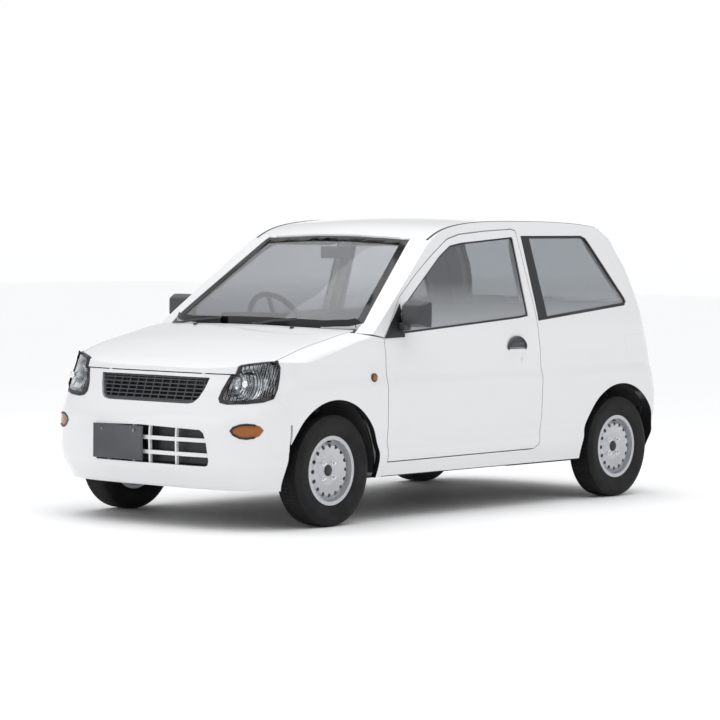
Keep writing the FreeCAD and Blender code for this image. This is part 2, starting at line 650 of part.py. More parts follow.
roof = cabin_roof.common(roof_outline)
lift_x = half_width * LIFT_HINGE_SHARE
lift_y = length * LIFT_HINGE_PLACE_SHARE
lift_z = height * LIFT_HINGE_HEIGHT_SHARE
lift_leaf = box(lift_x, lift_x + 2 * hinge_t, lift_y, lift_y + 2 * hinge_t, lift_z, lift_z + hinge_t)
lift_leaf = lift_leaf.cut(tailgate_outline.cut(tailgate_top_seat))
roof = roof.fuse([lift_leaf, flip(lift_leaf)])
keep("roof_panel", roof)
keep("windscreen", cabin_glass.common(grown(windscreen_outline, Z_AXIS, -clearance)))
tailgate = cabin_side.common(tailgate_outline).cut(tailgate_top).cut(tailgate_window)
keep("tailgate", tailgate)
tail_glass = cabin_glass.common(grown(tailgate_window, Y_AXIS, -clearance)).cut(tailgate_top)
keep("tailgate_glass", tail_glass)
rear_bumper = cabin_side.common(rear_bumper_outline).cut(rear_arch).cut(flip(rear_arch))
keep("rear_bumper", rear_bumper)
tail_lamp = cabin_side.common(tail_lamp_outline).cut(tailgate_opening)
keep("tail_lamps", [tail_lamp, flip(tail_lamp)])

# Front end.

bonnet_edge_z = height * BONNET_EDGE_SHARE
above_nose = box(-wide, wide, front_y, join_y, bonnet_edge_z, height)
above_seam = box(-wide, wide, front_y, join_y, bonnet_edge_z - gap, height)
lens_inner = nose_block(size["lens_thickness"])
bonnet_hem = nose_outer.cut(lens_inner).common(bonnet_outline)
bonnet_frame = nose_skin.common(grown(bonnet_outline, Z_AXIS, -3 * gap))
keep("bonnet", bonnet_hem.fuse(bonnet_frame).common(above_nose))
lamp_left = lamp_left_outline.cut(bonnet_opening.common(above_seam))
lamp_lens = nose_outer.cut(lens_inner).common(lamp_left)
keep("headlamps", [lamp_lens, flip(lamp_lens)])
bowl_centre = Vector(half_width * BOWL_SIDE_SHARE, length * BOWL_PLACE_SHARE, height * BOWL_HEIGHT_SHARE)
lamp_bowl = lens_inner.common(nose_deep).common(lamp_left)
lamp_bowl = lamp_bowl.cut(Part.makeSphere(size["bowl_radius"], bowl_centre))
keep("lamp_bowls", [lamp_bowl, flip(lamp_bowl)])
wing = nose_skin.common(side_prism(FRONT_FENDER_SHARES, half_width * WING_START_SHARE))
for cutter in [bonnet_opening, lamp_left_space, front_bumper_space, front_arch, cowl_space]:
    wing = wing.cut(cutter)
keep("front_fender_left", wing)
keep("front_fender_right", flip(wing))
grille_outline = end_prism(GRILLE_SHARES, front_y, lamp_end_y)
intake_end = box(half_width * INTAKE_END_SHARE, wide, front_y, lamp_end_y, 0, height)
intake_outline = end_prism(INTAKE_SHARES, front_y, lamp_end_y).common(intake_end)
indicator_outline = end_prism(INDICATOR_SHARES, front_y, lamp_end_y, False)
nose_panel = end_prism(NOSE_PANEL_SHARES, front_y, lamp_end_y)
front_bumper = nose_skin.common(front_bumper_outline).fuse(nose_skin.common(nose_panel))
for cutter in [lamp_left_space, flip(lamp_left_space), grille_outline, intake_outline,
               indicator_outline, flip(indicator_outline), front_arch, flip(front_arch)]:
    front_bumper = front_bumper.cut(cutter)
buffer_t = size["buffer_thickness"]
buffer_z = height * BONNET_EDGE_SHARE - clearance
buffer_y = length * BUFFER_SHARE
buffer = box(half_width * BUFFER_SIDE_SHARE, half_width * BUFFER_SIDE_SHARE + 2 * buffer_t,
             buffer_y, buffer_y + buffer_t, buffer_z - buffer_t, buffer_z)
front_bumper = front_bumper.fuse([buffer, flip(buffer)])
keep("front_bumper", front_bumper)

mesh = nose_block(size["grille_inset"]).cut(nose_inner)
grille = mesh.common(grown(grille_outline, Y_AXIS, -clearance))
slat = size["grille_slat"]
slats = []
for number in range(GRILLE_SLATS):
    low_z = height * (GRILLE_FOOT_SHARE + GRILLE_PITCH_SHARE * number)
    slats.append(box(-wide, wide, front_y, lamp_end_y, low_z, low_z + slat))
for number in range(-GRILLE_POSTS, GRILLE_POSTS + 1):
    low_x = half_width * GRILLE_POST_SHARE * number - slat / 2
    slats.append(box(low_x, low_x + slat, front_y, lamp_end_y, 0, height))
rim_space = grown(grille_outline, Y_AXIS, -2 * slat)
lattice = mesh.common(grown(grille_outline, Y_AXIS, -slat)).common(slats[0].fuse(slats[1:]))
grille = grille.cut(rim_space).fuse(lattice)
bars = []
for bar_share in INTAKE_BAR_SHARES:
    low_z = height * bar_share
    bars.append(box(-wide, wide, front_y, lamp_end_y, low_z, low_z + size["intake_bar"]))
for post_share in INTAKE_POST_SHARES:
    low_x = half_width * post_share - size["intake_bar"] / 2
    bars.append(box(low_x, low_x + size["intake_bar"] / 2, front_y, lamp_end_y, 0, height))
intake = mesh.common(grown(intake_outline, Y_AXIS, -clearance))
intake = intake.common(Part.makeCompound(bars[:1]).fuse(bars[1:]))
keep("front_grille", grille)
keep("intake_bars", intake)
indicator = nose_skin.common(grown(indicator_outline, Y_AXIS, -clearance))
keep("indicators", [indicator, flip(indicator)])

cowl_low = glass_in + size["sheet_thickness"]
cowl = plan_prism(COWL_SHARES)
cowl = cowl.common(field_block(bonnet_line, bonnet_falls, bonnet_parts, glass_in))
cowl = cowl.cut(field_block(bonnet_line, bonnet_falls, bonnet_parts, cowl_low))
keep("cowl", cowl)

# Helpers for pieces that are document objects, with their sizes bound to the sheet.

FRONT_AXLE = "(front_overhang - overall_length / 2)"
REAR_AXLE = "(front_overhang + wheelbase - overall_length / 2)"
FLOOR_TOP = "(ground_clearance + floor_thickness)"
BULKHEAD = f"({FRONT_AXLE} + arch_radius + wheelhouse_clearance)"
RAIL_SIDE = "(apron_half_gap - 4 * sheet_thickness)"
AXES = {"x": X_AXIS, "y": Y_AXIS, "z": Z_AXIS}
helpers = []


def formula(text):
    """A formula on the sheet, with the sheet's name put before each of its words."""
    def full(word):
        return "sizes." + word.group() if word.group() in SIZES else word.group()

    return re.sub(r"[a-z_]{4,}", full, text)


def bind(piece, **formulas):
    """Binds properties to formulas; two underscores in a name stand for a dot."""
    for name, text in formulas.items():
        piece.setExpression(name.replace("__", "."), formula(str(text)))
    return piece


def at(piece, x="0", y="0", z="0"):
    return bind(piece, Placement__Base__x=x, Placement__Base__y=y, Placement__Base__z=z)


def block(name, width, depth, tall, x, y, z):
    """A box with formulas for its three sides and for its low corner."""
    piece = bind(doc.addObject("Part::Box", name), Length=width, Width=depth, Height=tall)
    return at(piece, x, y, z)


def middle_block(name, width, depth, tall, y, z):
    """A box across the middle of the car."""
    return block(name, width, depth, tall, f"-({width}) / 2", y, z)


def rod(name, radius, long, x, y, z, axis="z"):
    """A cylinder along an axis of the car."""
    piece = bind(doc.addObject("Part::Cylinder", name), Radius=radius, Height=long)
    piece.Placement = FreeCAD.Placement(Vector(), FreeCAD.Rotation(Z_AXIS, AXES[axis]))
    return at(piece, x, y, z)


def joined(name, *parts):
    piece = doc.addObject("Part::MultiFuse", name)
    piece.Shapes = list(parts)
    piece.Refine = True
    return piece


def less(name, base, tool):
    piece = doc.addObject("Part::Cut", name)
    piece.Base = base
    piece.Tool = tool
    return piece


def other_side(name, source):
    """The same piece on the car's other side."""
    piece = doc.addObject("Part::Mirroring", name)
    piece.Source = source
    piece.Normal = X_AXIS
    return piece


def hand_in(*objects):
    """These objects are pieces of the car, under their own labels."""
    pieces.extend(objects)


def drawn(body, name, role, points):
    """A closed sketch through points, each held at two formulas from the origin."""
    sketch = body.newObject("Sketcher::SketchObject", name)
    plane = [item for item in body.Origin.OriginFeatures if item.Role == role][0]
    sketch.AttachmentSupport = [(plane, "")]
    sketch.MapMode = "FlatFace"
    doc.recompute()
    places = [Vector(*(sheet_value(text) for text in point), 0) for point in points]
    for first, second in zip(places, places[1:] + places[:1]):
        sketch.addGeometry(Part.LineSegment(first, second), False)
    last = len(points) - 1
    for index, point in enumerate(points):
        sketch.addConstraint(Sketcher.Constraint("Coincident", index - 1 if index else last, 2, index, 1))
    for index, point in enumerate(points):
        for kind, text, value in zip(("DistanceX", "DistanceY"), point, places[index]):
            if value == 0:
                axis = -2 if kind == "DistanceX" else -1
                sketch.addConstraint(Sketcher.Constraint("PointOnObject", index, 1, axis))
            else:
                number = sketch.addConstraint(Sketcher.Constraint(kind, -1, 1, index, 1, value))
                sketch.setExpression(f"Constraints[{number}]", formula(text))
    return sketch


def sheet_value(text):
    """What a formula comes to, for the first drawing of a sketch."""
    words = {name: value for name, value in size.items() if name in text}
    for name in sorted(words, key=len, reverse=True):
        text = re.sub(rf"\b{name}\b", str(words[name]), text)
    return float(FreeCAD.Units.Quantity(text).Value)


# Wheels: a pressed steel rim in one piece with its drum, and a tyre, turned about the axle.

HALF_RIM = "rim_width / 2"
RIM_WELL = f"({HALF_RIM}) * {RIM_WELL_SHARE}"
DRUM_BACK = "(rim_disc_offset - drum_depth)"
DRUM_STEP = f"(rim_disc_offset - drum_depth * {DRUM_STEP_SHARE})"
SPINDLE_BORE = "(spindle_radius + spindle_clearance)"
SHOULDER = f"rim_radius * {DISC_SHOULDER_SHARE}"
WHEEL_SECTION = [
    (HALF_RIM, "rim_radius"),
    (HALF_RIM, "rim_bead_radius - rim_wall"),
    (f"{RIM_WELL} + rim_wall", "rim_bead_radius - rim_wall"),
    ("rim_disc_offset + rim_wall", SHOULDER),
    ("rim_disc_offset + 3 * rim_wall", f"rim_radius * {DISC_CROWN_SHARE}"),
    ("rim_disc_offset + rim_wall", f"drum_radius * {HUB_FACE_SHARE}"),
    ("rim_disc_offset + rim_wall", "hub_bore_radius"),
    (DRUM_STEP, "hub_bore_radius"),
    (DRUM_STEP, SPINDLE_BORE),
    (DRUM_BACK, SPINDLE_BORE),
    (DRUM_BACK, "drum_radius"),
    ("rim_disc_offset", "drum_radius"),
    ("rim_disc_offset", f"{SHOULDER} - rim_wall"),
    (f"{RIM_WELL} - rim_wall", "rim_bead_radius - 4 * rim_wall"),
    (f"-({RIM_WELL}) - rim_wall", "rim_bead_radius - 4 * rim_wall"),
    (f"-({RIM_WELL}) - rim_wall", "rim_bead_radius - rim_wall"),
    (f"-({HALF_RIM})", "rim_bead_radius - rim_wall"),
    (f"-({HALF_RIM})", "rim_radius"),
    (f"rim_wall - {HALF_RIM}", "rim_radius"),
    (f"rim_wall - {HALF_RIM}", "rim_bead_radius - running_clearance"),
    (f"-({RIM_WELL})", "rim_bead_radius - running_clearance"),
    (f"-({RIM_WELL})", "rim_bead_radius - 3 * rim_wall"),
    (RIM_WELL, "rim_bead_radius - 3 * rim_wall"),
    (RIM_WELL, "rim_bead_radius - running_clearance"),
    (f"{HALF_RIM} - rim_wall", "rim_bead_radius - running_clearance"),
    (f"{HALF_RIM} - rim_wall", "rim_radius"),
]
TYRE_SECTION = [(f"tyre_width / 2 * {across}", f"rim_bead_radius + (tyre_radius - rim_bead_radius) * {up}")
                for across, up in TYRE_SHARES]
TYRE_SECTION += [(f"-({across})", up) for across, up in reversed(TYRE_SECTION)]


def turned(body, section):
    """A body turned from a section about the wheel's own axis."""
    sketch = drawn(body, f"{body.Name}_section", "XZ_Plane", section)
    ring = body.newObject("PartDesign::Revolution", f"{body.Name}_ring")
    ring.Profile = sketch
    ring.ReferenceAxis = (sketch, ["H_Axis"])
    ring.Angle = 360
    body.Tip = ring
    return ring


def pierce(body):
    """The ring of small holes in a wheel's disc."""
    sketch = body.newObject("Sketcher::SketchObject", f"{body.Name}_hole_sketch")
    plane = [item for item in body.Origin.OriginFeatures if item.Role == "YZ_Plane"][0]
    sketch.AttachmentSupport = [(plane, "")]
    sketch.MapMode = "FlatFace"
    middle = Vector(0, size["rim_radius"] * HOLE_RING_SHARE, 0)
    sketch.addGeometry(Part.Circle(middle, Z_AXIS, size["wheel_hole_radius"]), False)
    sketch.addConstraint(Sketcher.Constraint("PointOnObject", 0, 3, -2))
    height_at = sketch.addConstraint(Sketcher.Constraint("DistanceY", -1, 1, 0, 3, middle.y))
    sketch.setExpression(f"Constraints[{height_at}]", formula(f"rim_radius * {HOLE_RING_SHARE}"))
    wide_at = sketch.addConstraint(Sketcher.Constraint("Radius", 0, size["wheel_hole_radius"]))
    sketch.setExpression(f"Constraints[{wide_at}]", formula("wheel_hole_radius"))
    hole = body.newObject("PartDesign::Pocket", f"{body.Name}_hole")
    hole.Profile = sketch
    hole.Type = "ThroughAll"
    hole.Midplane = True
    ring = body.newObject("PartDesign::PolarPattern", f"{body.Name}_holes")
    ring.Originals = [hole]
    axle = [item for item in body.Origin.OriginFeatures if item.Role == "X_Axis"][0]
    ring.Axis = (axle, [""])
    ring.Angle = 360
    ring.Occurrences = WHEEL_HOLES
    body.Tip = ring


for axle_name, track, axle_at in [("front", "track_front", FRONT_AXLE), ("rear", "track_rear", REAR_AXLE)]:
    wheel = doc.addObject("PartDesign::Body", f"wheel_{axle_name}_left")
    turned(wheel, WHEEL_SECTION)
    pierce(wheel)
    tyre = doc.addObject("PartDesign::Body", f"tyre_{axle_name}_left")
    turned(tyre, TYRE_SECTION)
    for body in (wheel, tyre):
        at(body, f"{track} / 2", axle_at, "tyre_radius")
        hand_in(body, other_side(body.Name.replace("left", "right"), body))

# Front knuckles with their struts. They turn about the upright line of the strut.

KINGPIN = "((track_front - tyre_width) / 2 - strut_radius - strut_clearance)"
DRUM_INNER = "(track_front / 2 + rim_disc_offset - drum_depth)"
STRUT_TOP = f"overall_height * {STRUT_TOP_SHARE}"
STRUT_FOOT = f"(tyre_radius - drum_radius * {KNUCKLE_FOOT_SHARE})"
COIL_FOOT = "(2 * tyre_radius + strut_clearance)"
spindle = rod("spindle", "spindle_radius",
              f"track_front / 2 + rim_disc_offset * {SPINDLE_END_SHARE} - {KINGPIN}",
              KINGPIN, FRONT_AXLE, "tyre_radius", "x")
carrier = rod("carrier", f"strut_radius * {CARRIER_SHARE}", f"{DRUM_INNER} - running_clearance - {KINGPIN}",
              KINGPIN, FRONT_AXLE, "tyre_radius", "x")
post = rod("strut_post", "strut_radius", f"{STRUT_TOP} - running_clearance - {STRUT_FOOT}",
           KINGPIN, FRONT_AXLE, STRUT_FOOT)
coil = rod("spring", "spring_radius", f"{STRUT_TOP} - running_clearance - {COIL_FOOT}",
           KINGPIN, FRONT_AXLE, COIL_FOOT)
knuckle = joined("knuckle_left", spindle, carrier, post, coil)
hand_in(knuckle, other_side("knuckle_right", knuckle))

# Floor: a flat pan with its tunnel, the heel and the raised boot floor behind it, the
# bulkhead, four wheelhouses, the strut towers and the front rails.

HOUSE = "(arch_radius + wheelhouse_clearance)"
HEEL = f"overall_length * {HEEL_SHARE}"
BOOT_FLOOR = f"overall_height * {BOOT_FLOOR_SHARE}"
BOOT_END = f"overall_length * {BOOT_END_SHARE}"
REAR_HOUSE = f"apron_half_gap * {REAR_HOUSE_SHARE}"
HOUSE_END = "(overall_width / 2 - side_thickness - 4 * panel_gap)"
floor = middle_block("floor", "2 * floor_half_width", f"{HEEL} + sheet_thickness - {BULKHEAD}",
                     "floor_thickness", BULKHEAD, "ground_clearance")
heel = middle_block("heel_board", "2 * floor_half_width", "sheet_thickness",
                    f"{BOOT_FLOOR} + floor_thickness - ground_clearance", HEEL, "ground_clearance")
bulkhead = middle_block("bulkhead", "2 * floor_half_width", "sheet_thickness",
                        f"overall_height * {BULKHEAD_TOP_SHARE} - ground_clearance", BULKHEAD,
                        "ground_clearance")
tunnel = middle_block("tunnel", f"2 * floor_half_width * {TUNNEL_SHARE}",
                      f"overall_length * {TUNNEL_END_SHARE} - {BULKHEAD}",
                      f"overall_height * {TUNNEL_TOP_SHARE} - ground_clearance", BULKHEAD,
                      "ground_clearance")
back_panel = middle_block("back_panel", f"2 * {REAR_HOUSE} * {TRAIL_SHARE}", "sheet_thickness",
                          f"overall_height * {BACK_PANEL_SHARE} - {BOOT_FLOOR}",
                          f"{BOOT_END} - sheet_thickness", BOOT_FLOOR)
boot_floor = doc.addObject("PartDesign::Body", "boot_floor")
boot_half = [(f"overall_width / 2 * {x}", f"overall_length * {y}") for x, y in BOOT_SHARES]
boot_back = [(f"-overall_width / 2 * {x}", f"overall_length * {y}") for x, y in reversed(BOOT_SHARES) if x]
boot_plan = drawn(boot_floor, "boot_plan", "XY_Plane", boot_half + boot_back)
boot_slab = boot_floor.newObject("PartDesign::Pad", "boot_slab")
boot_slab.Profile = boot_plan
bind(boot_slab, Length="floor_thickness")
boot_floor.Tip = boot_slab
at(boot_floor, z=BOOT_FLOOR)


def wheelhouse(name, axle_at, inner, low):
    """Half a drum of sheet over a tyre, open to the outside. Returns it and the space in it."""
    outer = rod(f"{name}_drum", f"{HOUSE} + sheet_thickness", f"{HOUSE_END} - {inner} + sheet_thickness",
                f"{inner} - sheet_thickness", axle_at, "tyre_radius", "x")
    space = rod(f"{name}_space", HOUSE, "overall_width", inner, axle_at, "tyre_radius", "x")
    shell = less(f"{name}_shell", outer, space)
    upper = block(f"{name}_upper", "overall_width", f"4 * {HOUSE}", "overall_height", "0",
                  f"{axle_at} - 2 * {HOUSE}", low)
    cover = doc.addObject("Part::Common", f"{name}_cover")
    cover.Base = shell
    cover.Tool = upper
    return cover, space


front_house, front_space = wheelhouse("front_wheelhouse", FRONT_AXLE, "apron_half_gap",
                                      f"{FLOOR_TOP} + floor_thickness")
rear_house, rear_space = wheelhouse("rear_wheelhouse", REAR_AXLE, REAR_HOUSE, BOOT_FLOOR)
front_corner = block("front_corner", "overall_width", "overall_length", "overall_height",
                     f"overall_width / 2 * {FRONT_CORNER_SHARE}",
                     f"overall_length * ({FRONT_CORNER_END_SHARE} - 1)", "0")
rear_corner = block("rear_corner", "overall_width", "overall_length", "overall_height",
                    f"overall_width / 2 * {REAR_CORNER_SHARE}",
                    f"overall_length * {REAR_CORNER_START_SHARE}", "0")
front_house = less("front_wheelhouse", front_house, front_corner)
rear_house = less("rear_wheelhouse", rear_house, rear_corner)
TOWER_FOOT = f"(tyre_radius + {HOUSE} - sheet_thickness)"
tower = rod("strut_tower", "spring_radius + wheelhouse_clearance + sheet_thickness",
            f"{STRUT_TOP} + sheet_thickness - {TOWER_FOOT}", KINGPIN, FRONT_AXLE, TOWER_FOOT)
strut_well = rod("strut_well", "spring_radius + wheelhouse_clearance", f"{STRUT_TOP} - tyre_radius",
                 KINGPIN, FRONT_AXLE, "tyre_radius")
rail = block("front_rail", "3 * sheet_thickness",
             f"{BULKHEAD} + overall_length / 2 - overall_length * {RAIL_START_SHARE}",
             f"overall_height * {RAIL_TOP_SHARE} - {FLOOR_TOP}", RAIL_SIDE,
             f"overall_length * {RAIL_START_SHARE} - overall_length / 2", FLOOR_TOP)
tower_walls = less("tower_walls", tower, front_space)
front_half = less("front_side", joined("front_side_blank", front_house, tower_walls, rail), strut_well)
flat_parts = joined("floor_blank", floor, bulkhead, tunnel, heel, boot_floor, back_panel)
flat_cut = less("floor_cut_left", flat_parts, rear_space)
flat_parts = less("floor_cut_right", flat_cut, other_side("rear_space_right", rear_space))
floor_pan = joined("floor_pan", flat_parts, front_half, other_side("front_side_right", front_half),
                   rear_house, other_side("rear_wheelhouse_right", rear_house))
hand_in(floor_pan)

# Engine, radiator, suspension, rear axle, exhaust and tank.

ENGINE_MIDDLE = f"({FRONT_AXLE} - engine_length * {ENGINE_AHEAD_SHARE})"
hand_in(middle_block("engine_block", "engine_width", "engine_length", "engine_height",
                     f"{ENGINE_MIDDLE} - engine_length / 2", FLOOR_TOP))
hand_in(middle_block("radiator", f"2 * {RAIL_SIDE}", "radiator_thickness",
                     f"overall_height * {RADIATOR_TOP_SHARE} - {FLOOR_TOP}",
                     f"overall_length * {RADIATOR_SHARE}", FLOOR_TOP))

ARM_FOOT = f"({STRUT_FOOT} - running_clearance - arm_thickness)"
subframe = middle_block("subframe", f"2 * {RAIL_SIDE}", f"{BULKHEAD} - {ENGINE_MIDDLE}",
                        "arm_thickness + floor_thickness", ENGINE_MIDDLE,
                        "ground_clearance - arm_thickness")
arm = doc.addObject("PartDesign::Body", "lower_arm")
arm_plan = drawn(arm, "arm_plan", "XY_Plane", [
    (RAIL_SIDE, f"{FRONT_AXLE} + engine_width / 2 * {BEAM_BACK_SHARE}"),
    (f"{KINGPIN} + strut_radius", f"{FRONT_AXLE} - strut_radius"),
    (f"{KINGPIN} + strut_radius", f"{FRONT_AXLE} + strut_radius"),
    (RAIL_SIDE, BULKHEAD)])
arm_plate = arm.newObject("PartDesign::Pad", "arm_plate")
arm_plate.Profile = arm_plan
bind(arm_plate, Length="arm_thickness")
arm.Tip = arm_plate
at(arm, z=ARM_FOOT)
hand_in(joined("front_suspension", subframe, arm, other_side("lower_arm_right", arm)))

REAR_HUB = "(track_rear / 2 + rim_disc_offset - drum_depth - running_clearance)"
STUB_END = f"(track_rear / 2 + rim_disc_offset * {SPINDLE_END_SHARE})"
TRAIL_SIDE = f"({REAR_HOUSE} * {TRAIL_SHARE} - axle_tube_radius / 2)"
DAMPER_SIDE = f"({REAR_HOUSE} + strut_radius + strut_clearance)"
axle_tube = rod("axle_tube", "axle_tube_radius", f"2 * {REAR_HUB}", f"-{REAR_HUB}", REAR_AXLE,
                "tyre_radius", "x")
stub = rod("stub_axle", "spindle_radius", f"2 * {STUB_END}", f"-{STUB_END}", REAR_AXLE, "tyre_radius", "x")
trail = block("trailing_arm", "axle_tube_radius", f"wheelbase * {TRAIL_LENGTH_SHARE}", "axle_tube_radius",
              TRAIL_SIDE, f"{REAR_AXLE} - wheelbase * {TRAIL_LENGTH_SHARE}",
              "ground_clearance - axle_tube_radius")
trail_up = block("arm_bracket", "axle_tube_radius", "axle_tube_radius",
                 "tyre_radius - ground_clearance + axle_tube_radius", TRAIL_SIDE,
                 f"{REAR_AXLE} - axle_tube_radius", "ground_clearance - axle_tube_radius")
damper = rod("damper", "strut_radius", f"sqrt({HOUSE}^2 - strut_radius^2) - 3 * running_clearance",
             DAMPER_SIDE, REAR_AXLE, "tyre_radius")
left_parts = joined("rear_left_parts", trail, trail_up, damper)
hand_in(joined("rear_axle", axle_tube, stub, left_parts, other_side("rear_right_parts", left_parts)))

PIPE_SIDE = f"-{RAIL_SIDE} * {EXHAUST_SIDE_SHARE}"
PIPE_HEIGHT = "(ground_clearance - exhaust_radius)"
SILENCER = f"overall_length * {SILENCER_SHARE}"
pipe = rod("exhaust_pipe", "exhaust_radius", f"{SILENCER} - {BULKHEAD}", PIPE_SIDE,
           f"{BULKHEAD} + running_clearance", PIPE_HEIGHT, "y")
silencer = rod("silencer", "silencer_radius", f"overall_length * {SILENCER_LENGTH_SHARE}", PIPE_SIDE,
               SILENCER, f"{PIPE_HEIGHT} + silencer_radius * {SILENCER_RISE_SHARE}", "y")
tail_pipe = rod("tail_pipe", "exhaust_radius", f"overall_length * {TAIL_PIPE_SHARE}", PIPE_SIDE,
                SILENCER, PIPE_HEIGHT, "y")
hand_in(joined("exhaust", pipe, silencer, tail_pipe))
hand_in(block("fuel_tank", f"{RAIL_SIDE} * (1 + {TANK_SIDE_SHARE})",
        f"overall_length * {TANK_LENGTH_SHARE} - sheet_thickness",
              "tank_height", f"-{RAIL_SIDE} * {TANK_SIDE_SHARE}", f"{HEEL} + sheet_thickness",
              f"{BOOT_FLOOR} - tank_height"))

# Cabin: dashboard, steering column and wheel, front seats and bench.

dashboard = doc.addObject("PartDesign::Body", "dashboard")
dash_side = drawn(dashboard, "dash_section", "YZ_Plane",
                  [(f"overall_length * {y}", f"overall_height * {z}") for y, z in DASH_SHARES])
dash_pad = dashboard.newObject("PartDesign::Pad", "dash_pad")
dash_pad.Profile = dash_side
dash_pad.Midplane = True
bind(dash_pad, Length=f"overall_width * {DASH_SIDE_SHARE}")
dashboard.Tip = dash_pad
hand_in(dashboard)

COLUMN_Y = f"overall_length * {WHEEL_CENTRE_SHARE}"
COLUMN_Z = f"overall_height * {WHEEL_HEIGHT_SHARE}"
COLUMN_LONG = f"(steering_wheel_radius * {COLUMN_LENGTH_SHARE})"
column_turn = FreeCAD.Rotation(X_AXIS, COLUMN_TILT_DEGREES - 90)
column_tilt = math.radians(COLUMN_TILT_DEGREES)


def leaning(piece, down="0"):
    """Stands a piece made about Z on the line of the steering column, so far below the wheel."""
    piece.Placement = FreeCAD.Placement(Vector(), column_turn)
    return at(piece, "-seat_centre", f"{COLUMN_Y} - {down} * {math.cos(column_tilt):.5f}",
              f"{COLUMN_Z} - {down} * {math.sin(column_tilt):.5f}")


column_rod = rod("column_rod", "column_radius",
                 f"{COLUMN_LONG} - steering_hub_depth / 2 - running_clearance",
                 "0", "0", "0")
hand_in(less("steering_column", leaning(column_rod, COLUMN_LONG), dashboard))
rim = bind(doc.addObject("Part::Torus", "steering_rim"), Radius1="steering_wheel_radius",
           Radius2="steering_rim_radius")
hub = rod("steering_hub", "steering_hub_radius", "steering_hub_depth", "0", "0", "-steering_hub_depth / 2")
spokes = []
for number, turn in enumerate(SPOKE_DEGREES):
    spoke = bind(doc.addObject("Part::Cylinder", f"steering_spoke_{number}"),
                 Radius=f"steering_rim_radius * {SPOKE_SHARE}", Height="steering_wheel_radius")
    spoke_turn = FreeCAD.Rotation(Z_AXIS, turn) * FreeCAD.Rotation(Y_AXIS, 90)
    spoke.Placement = FreeCAD.Placement(Vector(), spoke_turn)
    spokes.append(spoke)
hand_in(leaning(joined("steering_wheel", rim, hub, *spokes)))


def make_seat(name, middle_x, width, place_y, foot_z, legs):
    """A cushion, a leaning back and, for a front seat, its headrest and the runners under it."""
    cushion = block(f"{name}_cushion", width, "seat_cushion_depth", "seat_cushion_height",
                    f"{middle_x} - ({width}) / 2", place_y, foot_z)
    upright = block(f"{name}_upright", width, "seat_back_thickness", "seat_back_height",
                    f"-({width}) / 2", "0", "0")
    back = upright
    back_x = f"{middle_x} - ({width}) / 2"
    if legs:
        headrest = block(f"{name}_headrest", f"({width}) * {HEADREST_WIDE_SHARE}",
                         "seat_back_thickness * 3 / 4",
                         "headrest_height", f"-({width}) * {HEADREST_WIDE_SHARE} / 2",
                         "seat_back_thickness / 8", "seat_back_height")
        back = joined(f"{name}_back", upright, headrest)
        back_x = middle_x
    back.Placement = FreeCAD.Placement(Vector(), FreeCAD.Rotation(X_AXIS, -SEAT_RECLINE_DEGREES))
    at(back, back_x, f"{place_y} + seat_cushion_depth - seat_back_thickness / 2",
       f"{foot_z} + seat_cushion_height / 2")
    parts = [cushion, back]
    if legs:
        parts.append(block(f"{name}_runners", f"({width}) * 2 / 3",
                     "seat_cushion_depth - 3 / 2 * seat_back_thickness",
                           f"{foot_z} - {FLOOR_TOP}", f"{middle_x} - ({width}) / 3",
                           f"{place_y} + seat_back_thickness / 2", FLOOR_TOP))
    return joined(name, *parts)


SEAT_PLACE = f"overall_length * {SEAT_FRONT_SHARE}"
SEAT_FOOT = f"overall_height * {SEAT_FOOT_SHARE}"
hand_in(make_seat("seat_left", "seat_centre", "seat_width", SEAT_PLACE, SEAT_FOOT, True))
hand_in(make_seat("seat_right", "-seat_centre", "seat_width", SEAT_PLACE, SEAT_FOOT, True))
hand_in(make_seat("rear_bench", "0", f"2 * ({REAR_HOUSE} - sheet_thickness - panel_gap)",
                  f"overall_length * {BENCH_SHARE}", f"{BOOT_FLOOR} + floor_thickness", False))

# Door mirrors and door handles, each trimmed by the door that carries it.

mirror_shell = doc.addObject("PartDesign::Body", "mirror_shell")
mirror_face = drawn(mirror_shell, "mirror_outline", "XZ_Plane",
                    [(f"overall_width / 2 * {x}", f"overall_height * {z}") for x, z in MIRROR_SHARES])
mirror_pad = mirror_shell.newObject("PartDesign::Pad", "mirror_pad")
mirror_pad.Profile = mirror_face
mirror_pad.Midplane = True
bind(mirror_pad, Length="mirror_depth")
mirror_shell.Tip = mirror_pad
at(mirror_shell, y=f"overall_length * {MIRROR_PLACE_SHARE}")
mirror = less("mirror_left", less("mirror_blank", mirror_shell, door_piece), door_glass_piece)
hand_in(mirror, other_side("mirror_right", mirror))
grip = block("handle_grip", "2 * handle_stand", "handle_length", "handle_height",
             f"overall_width / 2 * {HANDLE_SIDE_SHARE} - handle_stand",
             f"overall_length * {HANDLE_PLACE_SHARE}",
             f"overall_height * {HANDLE_HEIGHT_SHARE}")
handle = less("door_handle_left", grip, door_piece)
hand_in(handle, other_side("door_handle_right", handle))

doc.recompute()
for item in doc.Objects:
    if "Invalid" in item.State or "Error" in item.State:
        raise RuntimeError(f"{item.Name} did not build: {item.State}")
for piece in pieces:
    piece.Label = piece.Name
    shape = piece.Shape
    if shape.isNull() or not shape.isValid() or not shape.Solids:
        raise RuntimeError(f"{piece.Label} has no sound solid")
    print(piece.Label, len(shape.Solids), round(shape.Volume / 1e6, 2))
os.makedirs("parts", exist_ok=True)
for piece in pieces:
    piece.Shape.exportStep(f"parts/{piece.Label}.step")
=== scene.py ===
# %% [markdown]
# # A small three-door hatchback
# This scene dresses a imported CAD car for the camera. The car's panels, wheels and seats come
# from the CAD model and stay where they are. What is added here is what a CAD model leaves
# plain: paint, glass, rubber, cloth, the insides of the lamps, the mesh of the grille, seals,
# handles and wipers. Every length is in metres, the front of the car points to -Y, its left
# side to +X, and it stands on Z = 0.

